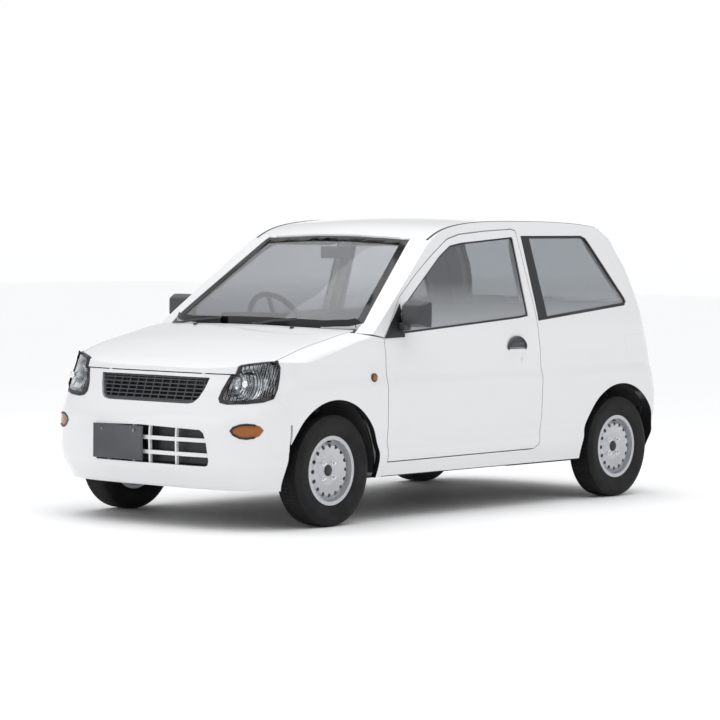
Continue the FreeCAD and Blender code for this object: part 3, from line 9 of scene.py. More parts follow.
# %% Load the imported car
import json
import math

import bpy
from mathutils import Matrix, Vector


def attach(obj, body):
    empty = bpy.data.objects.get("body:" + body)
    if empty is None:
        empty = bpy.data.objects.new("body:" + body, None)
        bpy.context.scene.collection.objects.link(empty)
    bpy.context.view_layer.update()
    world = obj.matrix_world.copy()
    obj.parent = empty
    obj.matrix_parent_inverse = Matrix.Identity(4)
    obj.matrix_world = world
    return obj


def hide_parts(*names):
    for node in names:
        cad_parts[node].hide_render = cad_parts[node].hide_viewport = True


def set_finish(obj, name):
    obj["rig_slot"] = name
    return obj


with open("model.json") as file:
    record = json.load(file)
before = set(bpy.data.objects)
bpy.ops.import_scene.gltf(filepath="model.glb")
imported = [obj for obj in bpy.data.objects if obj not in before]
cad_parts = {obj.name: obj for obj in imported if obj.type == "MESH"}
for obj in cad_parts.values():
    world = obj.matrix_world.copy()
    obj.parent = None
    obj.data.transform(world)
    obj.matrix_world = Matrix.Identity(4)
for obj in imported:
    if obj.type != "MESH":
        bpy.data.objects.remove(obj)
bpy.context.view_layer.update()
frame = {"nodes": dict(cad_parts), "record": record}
bpy.ops.object.select_all(action="DESELECT")
nodes = frame["nodes"]

# %% [markdown]
# ## The camera
# The photograph was taken from the front left corner with a long lens, from about the height
# of the roof. A camera that stands far away and has a long focal length keeps the car's sides
# nearly parallel. Its place and three angles were fitted to the hubs, the tyres and the
# corners of the windows. Writing the camera's own axes as the columns of a matrix sets all
# three angles at once, with no doubt about their order.

# %% Place the camera
camera_place = Vector((10.117, -12.137, 1.453))
camera_yaw, camera_pitch, camera_roll = -0.697937, 0.045306, 0.009666
forward = Vector((math.sin(camera_yaw) * math.cos(camera_pitch),
                  math.cos(camera_yaw) * math.cos(camera_pitch), -math.sin(camera_pitch)))
level = Vector((math.cos(camera_yaw), -math.sin(camera_yaw), 0))
upward = level.cross(forward)
right = level * math.cos(camera_roll) + upward * math.sin(camera_roll)
top = upward * math.cos(camera_roll) - level * math.sin(camera_roll)
camera_data = bpy.data.cameras.new("camera")
camera_data.lens = 152.9
camera_data.sensor_width = 36
camera_data.clip_end = 200
camera = bpy.data.objects.new("camera", camera_data)
bpy.context.scene.collection.objects.link(camera)
camera.matrix_world = Matrix((
    (right.x, top.x, -forward.x, camera_place.x),
    (right.y, top.y, -forward.y, camera_place.y),
    (right.z, top.z, -forward.z, camera_place.z),
    (0, 0, 0, 1)))
bpy.context.scene.camera = camera
print("camera", [round(v, 2) for v in camera_place], "lens", camera_data.lens)

# %% [markdown]
# ## Floor and light
# The car stands on a plain white studio floor, and only a soft shadow shows under it. White
# paint shows its form through what it reflects. The world is therefore a soft dome: white at
# the level of the horizon, so that floor and backdrop meet without an edge, darker above that,
# and bright again overhead. The bright top lifts the bonnet and roof above the sides, and the
# darker ring keeps the shadow under the car deep. A float curve turns the height of a direction
# into its strength. Two large lamps add a little direction from above and from the front.

# %% Add the floor and the lights
sky_curve = ((0, 0.68), (0.09, 0.68), (0.2, 0.42), (0.5, 0.46), (0.8, 0.82), (1, 1))
sky_brightness = 1.5
bpy.ops.mesh.primitive_plane_add(size=80, location=(0, 0, 0))
floor = bpy.context.active_object
floor.name = "studio_floor"


def add_softbox(name, place, target, width, depth, power):
    """A rectangular area light that faces a point."""
    light = bpy.data.lights.new(name, "AREA")
    light.shape = "RECTANGLE"
    light.size = width
    light.size_y = depth
    light.energy = power
    lamp = bpy.data.objects.new(name, light)
    lamp.location = place
    lamp.rotation_euler = (Vector(target) - Vector(place)).to_track_quat("-Z", "Y").to_euler()
    bpy.context.scene.collection.objects.link(lamp)


def add_node(tree, kind, inputs=None, **settings):
    """A shader node with its settings made, and its sockets set to values or linked to sockets."""
    node = tree.nodes.new(f"ShaderNode{kind}")
    for setting, value in settings.items():
        setattr(node, setting, value)
    for socket, value in (inputs or {}).items():
        if isinstance(value, bpy.types.NodeSocket):
            tree.links.new(value, node.inputs[socket])
        else:
            node.inputs[socket].default_value = value
    return node


add_softbox("ceiling_softbox", (0.5, -0.5, 5.5), (0, 0, 0), 7, 7, 110)
add_softbox("front_softbox", (-3.5, -8, 3.2), (0, -0.8, 0.6), 5, 3, 40)
world = bpy.data.worlds.new("studio")
world.use_nodes = True
sky_tree = world.node_tree
sky = sky_tree.nodes["Background"]
sky.inputs["Color"].default_value = (0.985, 0.99, 1.0, 1)
direction = add_node(sky_tree, "TexCoord").outputs["Generated"]
height = add_node(sky_tree, "SeparateXYZ", {"Vector": direction}).outputs["Z"]
dome = add_node(sky_tree, "FloatCurve", {"Value": height})
heights = dome.mapping.curves[0]
heights.points[0].location = sky_curve[0]
heights.points[1].location = sky_curve[-1]
for place, strength in sky_curve[1:-1]:
    heights.points.new(place, strength)
dome.mapping.update()
scale = add_node(sky_tree, "Math", {0: dome.outputs["Value"], 1: sky_brightness}, operation="MULTIPLY")
sky_tree.links.new(scale.outputs["Value"], sky.inputs["Strength"])
bpy.context.scene.world = world
bpy.context.scene.view_settings.view_transform = "Standard"

# %% [markdown]
# ## Finishes
# Every finish starts from the Principled shader and then gets what the real surface has:
# a grain, spots that are a little rougher, or a colour that drifts. The patterns read Object
# coordinates, so they stay on the piece when it moves, and their sizes are real sizes.

# %% Helpers for finishes


def object_place(tree):
    """The socket that gives a point's place on its own piece, in metres."""
    return add_node(tree, "TexCoord").outputs["Object"]


def calculate(tree, operation, first, second):
    """One step of arithmetic on sockets and numbers."""
    return add_node(tree, "Math", {0: first, 1: second}, operation=operation).outputs["Value"]


def new_finish(name, colour, roughness, metallic=0.0, sockets=None):
    """A material with constants on its shader's own sockets. Returns it and the shader."""
    finish = bpy.data.materials.new(name)
    finish.use_nodes = True
    shader = finish.node_tree.nodes["Principled BSDF"]
    shader.inputs["Base Color"].default_value = (*colour, 1)
    shader.inputs["Roughness"].default_value = roughness
    shader.inputs["Metallic"].default_value = metallic
    for socket, value in (sockets or {}).items():
        shader.inputs[socket].default_value = value
    return finish, shader


def object_noise(tree, scale, detail=3.0):
    """A noise pattern in object space, so many waves to the metre."""
    settings = {"Vector": object_place(tree), "Scale": scale, "Detail": detail}
    return add_node(tree, "TexNoise", settings).outputs["Fac"]


def add_relief(finish, shader, pattern, depth):
    """Raises a pattern on the surface by a depth in metres."""
    tree = finish.node_tree
    bump = add_node(tree, "Bump", {"Distance": depth, "Height": pattern})
    tree.links.new(bump.outputs["Normal"], shader.inputs["Normal"])


def add_grain(finish, shader, scale, depth, detail=3.0):
    """A fine relief: depth in metres, scale in waves to the metre."""
    add_relief(finish, shader, object_noise(finish.node_tree, scale, detail), depth)


def vary_roughness(finish, shader, low, high, scale):
    """Duller and shinier spots."""
    tree = finish.node_tree
    spread = add_node(tree, "MapRange", {"Value": object_noise(tree, scale), "From Min": 0.35,
                                         "From Max": 0.65, "To Min": low, "To Max": high})
    tree.links.new(spread.outputs["Result"], shader.inputs["Roughness"])


def vary_colour(finish, shader, first, second, scale):
    """A colour that drifts between two close ones."""
    tree = finish.node_tree
    ramp = add_node(tree, "ValToRGB", {"Fac": object_noise(tree, scale)})
    for stop, place, colour in zip(ramp.color_ramp.elements, (0.38, 0.62), (first, second)):
        stop.position = place
        stop.color = (*colour, 1)
    tree.links.new(ramp.outputs["Color"], shader.inputs["Base Color"])


def mix_finish(name, colour, roughness, metallic=0.0, sockets=None, grain=None, spots=None, drift=None):
    """A whole finish, with the relief, the spots and the drifting colour that it may have."""
    finish, shader = new_finish(name, colour, roughness, metallic, sockets)
    for add, settings in ((add_grain, grain), (vary_roughness, spots), (vary_colour, drift)):
        if settings:
            add(finish, shader, *settings)
    return finish


floor_finish = mix_finish("floor_white", (0.96, 0.96, 0.96), 0.6, spots=(0.55, 0.65, 0.8))
floor.data.materials.append(floor_finish)
print("floor finish ready")

# %% [markdown]
# ### White paint
# The paint is a white enamel under a clear coat. The coat gives the sharp reflections and the
# enamel under it the soft white. A very fine relief in the coat is the orange peel that every
# sprayed panel has. The CAD panels are as thick as a whole door, and their inner side is the
# trim that shows through the windows: a face that looks inwards gets the grey of the trim.
# Which way a face looks is read from the piece's own normal, so it stays right when a door
# swings open. The faces that line a wheel arch are black, told by their distance from the axle:
# the dark underseal of the wheelhouse, and painted shade deep in the arch.

# %% Mix the paint
paint_white, trim_grey, arch_black = (0.74, 0.745, 0.755), (0.36, 0.37, 0.38), (0.01, 0.01, 0.011)
front_axle, rear_axle, axle_height = -1.117, 1.223, 0.268
arch_reach = 0.3383
coat = {"Coat Weight": 0.9, "Coat Roughness": 0.04}
paint, paint_shader = new_finish("white_paint", paint_white, 0.38, sockets=coat)
add_grain(paint, paint_shader, 260, 0.00004, 1.0)


def inward_mask(tree):
    """1 where a panel's face looks into the cabin, else 0."""
    source = add_node(tree, "TexCoord").outputs
    where = add_node(tree, "SeparateXYZ", {"Vector": source["Object"]}).outputs
    facing = add_node(tree, "SeparateXYZ", {"Vector": source["Normal"]}).outputs
    side = calculate(tree, "SIGN", where["X"], 0)
    outwards = calculate(tree, "MULTIPLY", side, facing["X"])
    inward = calculate(tree, "LESS_THAN", outwards, -0.35)
    ceiling = calculate(tree, "MULTIPLY", calculate(tree, "LESS_THAN", facing["Z"], -0.5),
                        calculate(tree, "GREATER_THAN", where["Z"], 1.25))
    hatch = calculate(tree, "MULTIPLY", calculate(tree, "LESS_THAN", facing["Y"], -0.4),
                      calculate(tree, "GREATER_THAN", where["Y"], 1.15))
    return calculate(tree, "MAXIMUM", calculate(tree, "MAXIMUM", inward, ceiling), hatch)


def mix_colours(tree, share, first, second):
    """The first colour where the share is 0, and the second where it is 1."""
    colours = {"Factor": share, "A": first, "B": second}
    return add_node(tree, "Mix", colours, data_type="RGBA").outputs["Result"]


paint_tree = paint.node_tree
painted = mix_colours(paint_tree, inward_mask(paint_tree), (*paint_white, 1), (*trim_grey, 1))
# Painted shade: faces near each axle turn black, for the wheelhouse's underseal and the shade deep in its
# arch.
for axle_along in (front_axle, rear_axle):
    from_axle = add_node(paint_tree, "VectorMath", {0: object_place(paint_tree), 1: (0, 1, 1),
                         2: (0, -axle_along, -axle_height)}, operation="MULTIPLY_ADD")
    reach = add_node(paint_tree, "VectorMath", {0: from_axle.outputs["Vector"]}, operation="LENGTH")
    near = calculate(paint_tree, "LESS_THAN", reach.outputs["Value"], arch_reach)
    painted = mix_colours(paint_tree, near, painted, (*arch_black, 1))
paint_tree.links.new(painted, paint_shader.inputs["Base Color"])
print("paint", paint.name)

# %% [markdown]
# ### Glass, plastics, rubber and metals
# The windows are safety glass with a blue-grey tint. Towards the belt line the glass lets less light
# through and shows more of its own pale colour: a painted reflection of the white floor, so the side
# windows look milky below.
# The plastics are moulded with a fine grain that scatters light. The wheels are pressed steel
# under silver paint, and the parts under the car are black enamel that the road has dulled.

# %% Mix the glass
glass, glass_shader = new_finish("tinted_glass", (0.60, 0.625, 0.65), 0.02, sockets={"IOR": 1.45})
vary_roughness(glass, glass_shader, 0.01, 0.04, 3)
glass_tree = glass.node_tree
# Painted reflection: low on the glass less light passes and its pale colour shows, strongest below the belt
# line and fading towards the roof.
glass_height = add_node(glass_tree, "SeparateXYZ", {"Vector": object_place(glass_tree)}).outputs["Z"]
floor_reflection_span = {"Value": glass_height, "From Min": 0.90, "From Max": 1.16, "To Min": 0.42, "To Max": 0.90}
painted_floor_reflection = add_node(glass_tree, "MapRange", floor_reflection_span, name="painted_floor_reflection")
glass_tree.links.new(painted_floor_reflection.outputs["Result"], glass_shader.inputs["Transmission Weight"])
# The windscreen keeps only a trace of this painted reflection.
windscreen_glass = glass.copy()
windscreen_glass.name = "windscreen_glass"
windscreen_glass.node_tree.nodes["painted_floor_reflection"].inputs["To Min"].default_value = 0.93
lens = mix_finish("clear_lens", (0.93, 0.95, 0.96), 0.03, spots=(0.02, 0.06, 20),
                  sockets={"Transmission Weight": 1.0, "IOR": 1.3})
amber = mix_finish("amber_lens", (0.52, 0.16, 0.02), 0.12, sockets={"Transmission Weight": 0.45},
                   grain=(400, 0.0003))
red = mix_finish("red_lens", (0.55, 0.02, 0.02), 0.10, sockets={"Transmission Weight": 0.3},
                 grain=(350, 0.0003))
print("glass", glass.name, lens.name)

# %% Mix the other finishes
plastic = mix_finish("grained_plastic", (0.045, 0.05, 0.055), 0.5, grain=(900, 0.0003),
                     drift=((0.042, 0.047, 0.052), (0.052, 0.057, 0.062), 6))
cabin_plastic = mix_finish("cabin_plastic", (0.11, 0.12, 0.13), 0.6, grain=(700, 0.0004),
                           drift=((0.10, 0.11, 0.12), (0.13, 0.14, 0.15), 5))
rubber = mix_finish("tyre_rubber", (0.010, 0.010, 0.011), 0.7, sockets={"Specular IOR Level": 0.22},
                    grain=(500, 0.0003), drift=((0.009, 0.009, 0.010), (0.016, 0.016, 0.017), 9))
seal = mix_finish("black_seal", (0.012, 0.012, 0.014), 0.45, grain=(600, 0.0002))
wheel_paint = mix_finish("silver_wheel_paint", (0.50, 0.51, 0.53), 0.32, 0.75, grain=(900, 0.00008),
                         spots=(0.3, 0.45, 25))
black_paint = mix_finish("chassis_black", (0.02, 0.02, 0.022), 0.55, grain=(300, 0.0002),
                         drift=((0.016, 0.016, 0.018), (0.035, 0.033, 0.03), 8))
underseal = mix_finish("underseal", (0.03, 0.03, 0.032), 0.85, grain=(140, 0.0008),
                       drift=((0.026, 0.026, 0.028), (0.045, 0.042, 0.04), 5))
cast_alloy = mix_finish("cast_alloy", (0.35, 0.36, 0.37), 0.5, 0.8, grain=(260, 0.0006),
                        spots=(0.4, 0.65, 12))
bare_steel = mix_finish("bare_steel", (0.33, 0.30, 0.27), 0.45, 0.9, grain=(200, 0.0003),
                        drift=((0.36, 0.34, 0.31), (0.24, 0.17, 0.12), 10))
chrome = mix_finish("bright_reflector", (0.80, 0.81, 0.83), 0.10, 1.0, spots=(0.05, 0.12, 30))
mirror_plastic = mix_finish("mirror_plastic", (0.045, 0.048, 0.052), 0.42, grain=(900, 0.0002),
                            spots=(0.38, 0.5, 20))
plate_paint = mix_finish("plate_grey", (0.055, 0.06, 0.068), 0.35, grain=(90, 0.0001),
                         spots=(0.3, 0.45, 14))
lamp_bowl, bowl_shader = new_finish("fluted_bowl", (0.60, 0.61, 0.63), 0.16, 1.0)
bowl_tree = lamp_bowl.node_tree
flutes = add_node(bowl_tree, "TexWave", {"Vector": object_place(bowl_tree), "Scale": 17, "Distortion": 0.4})
add_relief(lamp_bowl, bowl_shader, flutes.outputs["Fac"], 0.006)
vary_colour(lamp_bowl, bowl_shader, (0.26, 0.27, 0.285), (0.86, 0.87, 0.89), 16)
print("finishes", len(bpy.data.materials))

# %% [markdown]
# ### Seat cloth
# The seats are covered in a plain woven cloth. Two waves at right angles give the threads, a
# third of a millimetre high, and the sheen is the light that the loose fibres catch at a
# shallow angle.

# %% Weave the seat cloth
sheen = {"Sheen Weight": 0.35, "Sheen Roughness": 0.5}
cloth, cloth_shader = new_finish("seat_cloth", (0.22, 0.23, 0.25), 0.9, sockets=sheen)
vary_colour(cloth, cloth_shader, (0.19, 0.20, 0.22), (0.26, 0.27, 0.29), 60)
cloth_tree = cloth.node_tree
threads = []
for axis in ("X", "Z"):
    waves = {"Vector": object_place(cloth_tree), "Scale": 110}
    threads.append(add_node(cloth_tree, "TexWave", waves, bands_direction=axis).outputs["Fac"])
add_relief(cloth, cloth_shader, calculate(cloth_tree, "MAXIMUM", *threads), 0.0003)
print("cloth", cloth.name)

# %% [markdown]
# ## Dress the CAD pieces
# A CAD piece keeps its mesh and only gets a better finish. The record names the finish of
# each piece, so one table from its slots to the materials dresses the whole car.

# %% Give each CAD piece its finish
finish_of_slot = {
    "white_paint": paint, "dark_plastic": plastic, "floor_steel": underseal, "glass": glass,
    "lamp_glass": lens, "amber_lens": amber, "red_lens": red, "trim_fabric": cloth,
    "cabin_plastic": cabin_plastic, "reflector": lamp_bowl, "tyre": rubber, "wheel_steel": wheel_paint,
    "black_steel": black_paint, "engine_metal": cast_alloy, "exhaust_steel": bare_steel}
for part in frame["record"]["subparts"]:
    piece = nodes[part["node"]]
    finish = finish_of_slot[part["material_slot"]]
    if part["node"] == "windscreen":
        finish = windscreen_glass
    for material_slot in piece.material_slots:
        material_slot.material = finish

# %% [markdown]
# ## Tools for shaping pieces
# A piece starts as a primitive and is shaped in edit mode, as by hand. A few short helpers keep
# that readable: one selects a piece alone, one picks faces or edges by their place, one applies
# a modifier, and one settles a finished piece: its place goes into its mesh, it gets its
# finish, and it rides on a body of the car.

# %% Helpers for shaping
sides = ((1, "left"), (-1, "right"))


def only(piece):
    """Selects one piece alone and makes it the active one."""
    if bpy.context.mode != "OBJECT":
        bpy.ops.object.mode_set(mode="OBJECT")
    bpy.ops.object.select_all(action="DESELECT")
    piece.select_set(True)
    bpy.context.view_layer.objects.active = piece
    return piece


def pick(piece, test, kind="FACE"):
    """Opens edit mode with only the faces or edges whose middle passes the test selected."""
    only(piece)
    bpy.ops.object.mode_set(mode="EDIT")
    bpy.ops.mesh.select_mode(type=kind)
    bpy.ops.mesh.select_all(action="DESELECT")
    bpy.ops.object.mode_set(mode="OBJECT")
    mesh = piece.data
    if kind == "FACE":
        for face in mesh.polygons:
            face.select = bool(test(face.center, face.normal))
    else:
        for edge in mesh.edges:
            first, second = (mesh.vertices[index].co for index in edge.vertices)
            edge.select = bool(test((first + second) / 2, second - first))
    bpy.ops.object.mode_set(mode="EDIT")


def open_all(piece, kind="VERT"):
    """Opens edit mode with the whole piece selected."""
    only(piece)
    bpy.ops.object.mode_set(mode="EDIT")
    bpy.ops.mesh.select_mode(type=kind)
    bpy.ops.mesh.select_all(action="SELECT")


def close_edit():
    """Goes back to object mode."""
    bpy.ops.object.mode_set(mode="OBJECT")


def recess(piece, test, *steps, even=True):
    """Insets the faces that pass the test: each step goes so far in, and then out or down."""
    pick(piece, test)
    for thickness, depth in steps:
        bpy.ops.mesh.inset(thickness=thickness, depth=depth, use_even_offset=even)
    close_edit()


def cut_off(piece, test):
    """Deletes the faces that pass the test."""
    pick(piece, test)
    bpy.ops.mesh.delete(type="FACE")
    close_edit()


def bake(place=False, turn=False, scale=False):
    """Puts the active piece's place, turn or scale into its mesh."""
    bpy.ops.object.transform_apply(location=place, rotation=turn, scale=scale)


def apply_modifier(piece, kind, **settings):
    """Adds a modifier, sets it and applies it."""
    only(piece)
    modifier = piece.modifiers.new(kind.lower(), kind)
    for setting, value in settings.items():
        setattr(modifier, setting, value)
    bpy.ops.object.modifier_apply(modifier=modifier.name)


slot_of_finish = {finish.name: slot for slot, finish in finish_of_slot.items()}
slot_of_finish.update(dict.fromkeys(("black_seal", "mirror_plastic", "plate_grey"), "dark_plastic"))


def settle(piece, name, finish, body="car_body", angle=35):
    """Puts a piece's place in its mesh, smooths it, dresses it and lets it ride on a body."""
    only(piece)
    bake(place=True, turn=True, scale=True)
    bpy.ops.object.shade_smooth_by_angle(angle=math.radians(angle))
    piece.name = name
    piece.data.materials.clear()
    piece.data.materials.append(finish)
    if finish.name in slot_of_finish:
        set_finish(piece, slot_of_finish[finish.name])
    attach(piece, body)
    piece.select_set(False)
    return piece


def twin(piece, name, body, move=(0, 0, 0), mirrored=False):
    """A copy with its own mesh, moved, or mirrored to the other side of the car."""
    mesh = piece.data.copy()
    if mirrored:
        mesh.transform(Matrix.Scale(-1, 4, (1, 0, 0)))
        mesh.flip_normals()
    mesh.transform(Matrix.Translation(move))
    copy = bpy.data.objects.new(name, mesh)
    bpy.context.scene.collection.objects.link(copy)
    if "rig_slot" in piece:
        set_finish(copy, piece["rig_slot"])
    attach(copy, body)
    return copy


def cube(size, place=(0, 0, 0), turn=(0, 0, 0)):
    """A box at its real size and place."""
    bpy.ops.mesh.primitive_cube_add(size=1, location=place, rotation=turn)
    piece = bpy.context.active_object
    piece.scale = size
    bake(scale=True)
    return piece


def block(size, place, radius, segments, turn=(0, 0, 0)):
    """A box with rounded edges, at its real size and place."""
    piece = cube(size, place, turn)
    apply_modifier(piece, "BEVEL", width=radius, segments=segments)
    return piece


def ball(radius, place, shape, fine=32):
    """A sphere, stretched or squashed to a shape."""
    bpy.ops.mesh.primitive_uv_sphere_add(segments=fine, ring_count=fine // 2, radius=radius,
                                         location=place)
    piece = bpy.context.active_object
    piece.scale = shape
    return piece


def disc(radius, depth, place, axis="Z", sides=32, edge=0.001):
    """A short cylinder with softened rims, along an axis."""
    turn = {"X": (0, math.pi / 2, 0), "Y": (math.pi / 2, 0, 0), "Z": (0, 0, 0)}[axis]
    bpy.ops.mesh.primitive_cylinder_add(vertices=sides, radius=radius, depth=depth,
                                        location=place, rotation=turn)
    piece = bpy.context.active_object
    bake(turn=True)
    apply_modifier(piece, "BEVEL", width=edge, segments=2)
    return piece


def merge(pieces):
    """Joins pieces into the first one."""
    bpy.ops.object.select_all(action="DESELECT")
    for piece in pieces:
        piece.select_set(True)
    bpy.context.view_layer.objects.active = pieces[0]
    bpy.ops.object.join()
    return pieces[0]


def outer_sheet(node, outward, side=None):
    """The faces of a CAD piece that look outwards, as a merged sheet of their own."""
    sheet = bpy.data.objects.new(f"{node}_sheet", nodes[node].data.copy())
    bpy.context.scene.collection.objects.link(sheet)
    open_all(sheet)
    bpy.ops.mesh.remove_doubles(threshold=0.00002)
    cut_off(sheet, lambda at, normal: not outward(at, normal) or (side and at.x * side < 0))
    return sheet


print("shaping helpers ready")

# %% [markdown]
# ## Rubber and black borders round the glass
# The windscreen is glued in, and a band of black enamel round its edge hides the glue. The side
# windows have rubber seals. A band like that has to follow the edge of a curved pane exactly,
# so it is cut from the pane itself: the outer face of the CAD glass is copied, the whole sheet
# is inset by the width of the band, the middle is deleted, and the ring that stays is given a
# thickness of a millimetre or two.

# %% Cut the bands


def edge_band(node, name, width, body, outward, thick=0.0026, side=None):
    """A ring along the edge of a pane, that stands a little proud of it."""
    band = outer_sheet(node, outward, side)
    open_all(band, "FACE")
    bpy.ops.mesh.inset(thickness=width, depth=0, use_boundary=True, use_even_offset=True)
    bpy.ops.mesh.delete(type="FACE")
    close_edit()
    apply_modifier(band, "SOLIDIFY", thickness=thick, offset=1)
    return settle(band, name, seal, body)


def looks_out(direction, least=0.3):
    """A test for faces that look along a direction."""
    direction = Vector(direction).normalized()
    return lambda at, normal: normal.dot(direction) > least


windscreen_out, glass_out = looks_out((0, -0.75, 0.65)), looks_out((0, 0.9, 0.4))
windscreen_band = edge_band("windscreen", "windscreen_band", 0.044, "car_body", windscreen_out)
for side, word in sides:
    side_out = looks_out((side, 0, 0.2))
    edge_band(f"door_glass_{word}", f"door_window_seal_{word}", 0.009, f"door_{word}", side_out)
    edge_band("quarter_windows", f"quarter_window_seal_{word}", 0.014, "car_body", side_out, side=side)
tail_band = edge_band("tailgate_glass", "tailgate_glass_band", 0.02, "tailgate", glass_out)
print("bands", len(windscreen_band.data.polygons), len(tail_band.data.polygons))

# %% [markdown]
# The post between the door and the rear side window is blacked out, so that both windows read
# as one. It is part of the same pane, so it is the front end of that pane's outer sheet, cut
# off with a bisect along the post.

# %% Black out the post behind the door
for side, word in sides:
    post = outer_sheet("quarter_windows", looks_out((side, 0, 0.2)), side)
    open_all(post)
    bpy.ops.mesh.bisect(plane_co=(0, 0.594, 1.17), plane_no=(0, 1, 0.03), clear_outer=True)
    close_edit()
    apply_modifier(post, "SOLIDIFY", thickness=0.0022, offset=1)
    settle(post, f"window_post_{word}", seal)
print("posts", post.name)

# %% [markdown]
# ## Tyres
# The tyre is a closed section that is spun round the axle. A circle is a closed loop of points
# already, so its points are moved to the section and the spin does the rest. The tread is the
# outer ring of faces: each is inset a little and raised, which leaves the blocks standing
# between grooves. The sidewall has two thin raised rings, as a moulded tyre has.

# %% Spin the tyre
tyre_section = [
    (50, 158), (52, 162), (56, 172), (62, 184), (63.5, 186), (65, 187), (67.5, 200), (70.5, 216),
    (71.8, 228), (71.6, 231), (72.6, 233), (71.4, 237), (69, 247), (65, 256), (59.5, 261.5),
    (47, 263.6), (33, 264.6), (17, 265), (0, 265.1)]
loop = tyre_section + [(-across, up) for across, up in reversed(tyre_section[:-1])]
inner_loop = [(-46, 172), (-60, 190), (-64, 225), (-54, 250), (0, 256), (54, 250), (64, 225),
              (60, 190), (46, 172)]
section = loop + inner_loop
bpy.ops.mesh.primitive_circle_add(vertices=len(section), radius=0.26)
tyre = bpy.context.active_object
for vertex, (across, up) in zip(tyre.data.vertices, section):
    vertex.co = (across / 1000, 0, up / 1000)
open_all(tyre)
bpy.ops.mesh.spin(steps=80, angle=math.tau, center=(0, 0, 0), axis=(1, 0, 0))
bpy.ops.mesh.select_all(action="SELECT")
bpy.ops.mesh.remove_doubles(threshold=0.0001)
bpy.ops.mesh.normals_make_consistent(inside=False)
close_edit()
print("tyre", len(tyre.data.polygons))

# %% Raise the tread blocks
pick(tyre, lambda at, normal: at.yz.length > 0.2615 and abs(at.x) < 0.06)
bpy.ops.mesh.inset(thickness=0.0014, depth=0.0026, use_individual=True)
close_edit()
print("with tread", len(tyre.data.polygons))

# %% Fit the four tyres
wheel_places = {"front_left": (0.6475, front_axle), "front_right": (-0.6475, front_axle),
                "rear_left": (0.645, rear_axle), "rear_right": (-0.645, rear_axle)}
settle(tyre, "tyre_front_left_tread", rubber, "wheel_front_left", 30)
for word, (across, along) in wheel_places.items():
    fitted = twin(tyre, f"tyre_{word}_tread", f"wheel_{word}", (across, along, axle_height))
    fitted.name = f"tread_{word}"
    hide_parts(f"tyre_{word}")
bpy.data.objects.remove(tyre)
print("tyres", sorted(wheel_places))

# %% [markdown]
# ## Wheel fittings
# Four nuts hold the wheel to its hub, a small dome covers the end of the hub, and the valve
# stands beside the rim. A ray shot from outside finds how deep the pressed disc lies at each
# place, so that each nut sits on it.

# %% Make nuts, hub cap and valve
bpy.context.view_layer.update()


wheel_side, wheel_y = wheel_places["front_left"]
bolt_circle = 0.050


def disc_face(along, up):
    """How far out the front left wheel's disc lies, or a usual place where it is open."""
    start = Vector((0.8, along, up))
    hit, place, normal, index = nodes["wheel_front_left"].ray_cast(start, Vector((-1, 0, 0)))
    return place.x if hit else wheel_side + 0.02


fittings = []
for number in range(4):
    turn = math.radians(45 + 90 * number)
    place_y = wheel_y + bolt_circle * math.sin(turn)
    place_z = axle_height + bolt_circle * math.cos(turn)
    face_x = disc_face(place_y, place_z)
    nut = disc(0.0095, 0.016, (face_x + 0.006, place_y, place_z), "X", sides=6, edge=0.0012)
    collar = disc(0.0125, 0.003, (face_x + 0.001, place_y, place_z), "X", sides=24, edge=0.0006)
    stud = disc(0.0052, 0.010, (face_x + 0.013, place_y, place_z), "X", sides=12, edge=0.0012)
    fittings += [nut, collar, stud]
nuts = merge(fittings)
settle(nuts, "wheel_nuts_front_left", chrome, "wheel_front_left")
cap_x = disc_face(wheel_y + 0.036, axle_height)
hub_cap = ball(0.0265, (cap_x - 0.002, wheel_y, axle_height), (0.55, 1, 1))
bake(scale=True)
cut_off(hub_cap, lambda at, normal: at.x < -0.004)
recess(hub_cap, lambda at, normal: at.x > 0.0112, (0.002, -0.0015))
settle(hub_cap, "hub_cap_front_left", black_paint, "wheel_front_left")
valve = disc(0.004, 0.03, (wheel_side + 0.036, wheel_y, axle_height + 0.138), "X", sides=16, edge=0.001)
settle(valve, "valve_front_left", seal, "wheel_front_left")
print("nuts", len(nuts.data.polygons))

# %% Copy the fittings to the other wheels
for word, (across, along) in wheel_places.items():
    if word == "front_left":
        continue
    for piece, label in ((nuts, "wheel_nuts"), (hub_cap, "hub_cap"), (valve, "valve")):
        shift = Vector((abs(across) - wheel_side, along - wheel_y, 0))
        if across < 0:
            shift.x = -shift.x
        twin(piece, f"{label}_{word}", f"wheel_{word}", shift, mirrored=across < 0)
print("fittings on", len(wheel_places), "wheels")

# %% [markdown]
# ## Lamps
# Behind the clear lens sits a bright bowl, which the CAD model has. The rim of the lens is
# glued into a black frame, and the lamp's bulb stands in the middle of the bowl on a small dark
# cap. The indicators are amber all through, in a black frame.

# %% Frame the lamps
bulb_place = Vector((0.566, -1.560, 0.690))
for side, word in sides:
    edge_band("headlamps", f"headlamp_frame_{word}", 0.019, "car_body",
              looks_out((side * 0.45, -1, 0.3), 0.2), side=side, thick=0.0022)
    edge_band("indicators", f"indicator_frame_{word}", 0.010, "car_body",
              looks_out((side * 0.7, -1, 0), 0.2), side=side, thick=0.0022)
bulb = ball(0.013, bulb_place, (1, 1.9, 1), fine=24)
cut_off(bulb, lambda at, normal: at.y > 0.011)
settle(bulb, "bulb_left", lens)
shade = disc(0.016, 0.008, bulb_place + Vector((0.004, -0.026, 0)), "Y", edge=0.002)
settle(shade, "bulb_shade_left", chrome)
twin(bulb, "bulb_right", "car_body", mirrored=True)
twin(shade, "bulb_shade_right", "car_body", mirrored=True)
print("lamp frames and bulbs ready")

# %% [markdown]
# ## Fittings on the skin
# What is left on the outside is small, but the eye looks for it: the blank plate, the door
# locks and handles, the round repeater lamp on each wing, the washer jets, the wipers, and the
# black strips in the gutters of the roof.

# %% Bolt a blank plate to the front


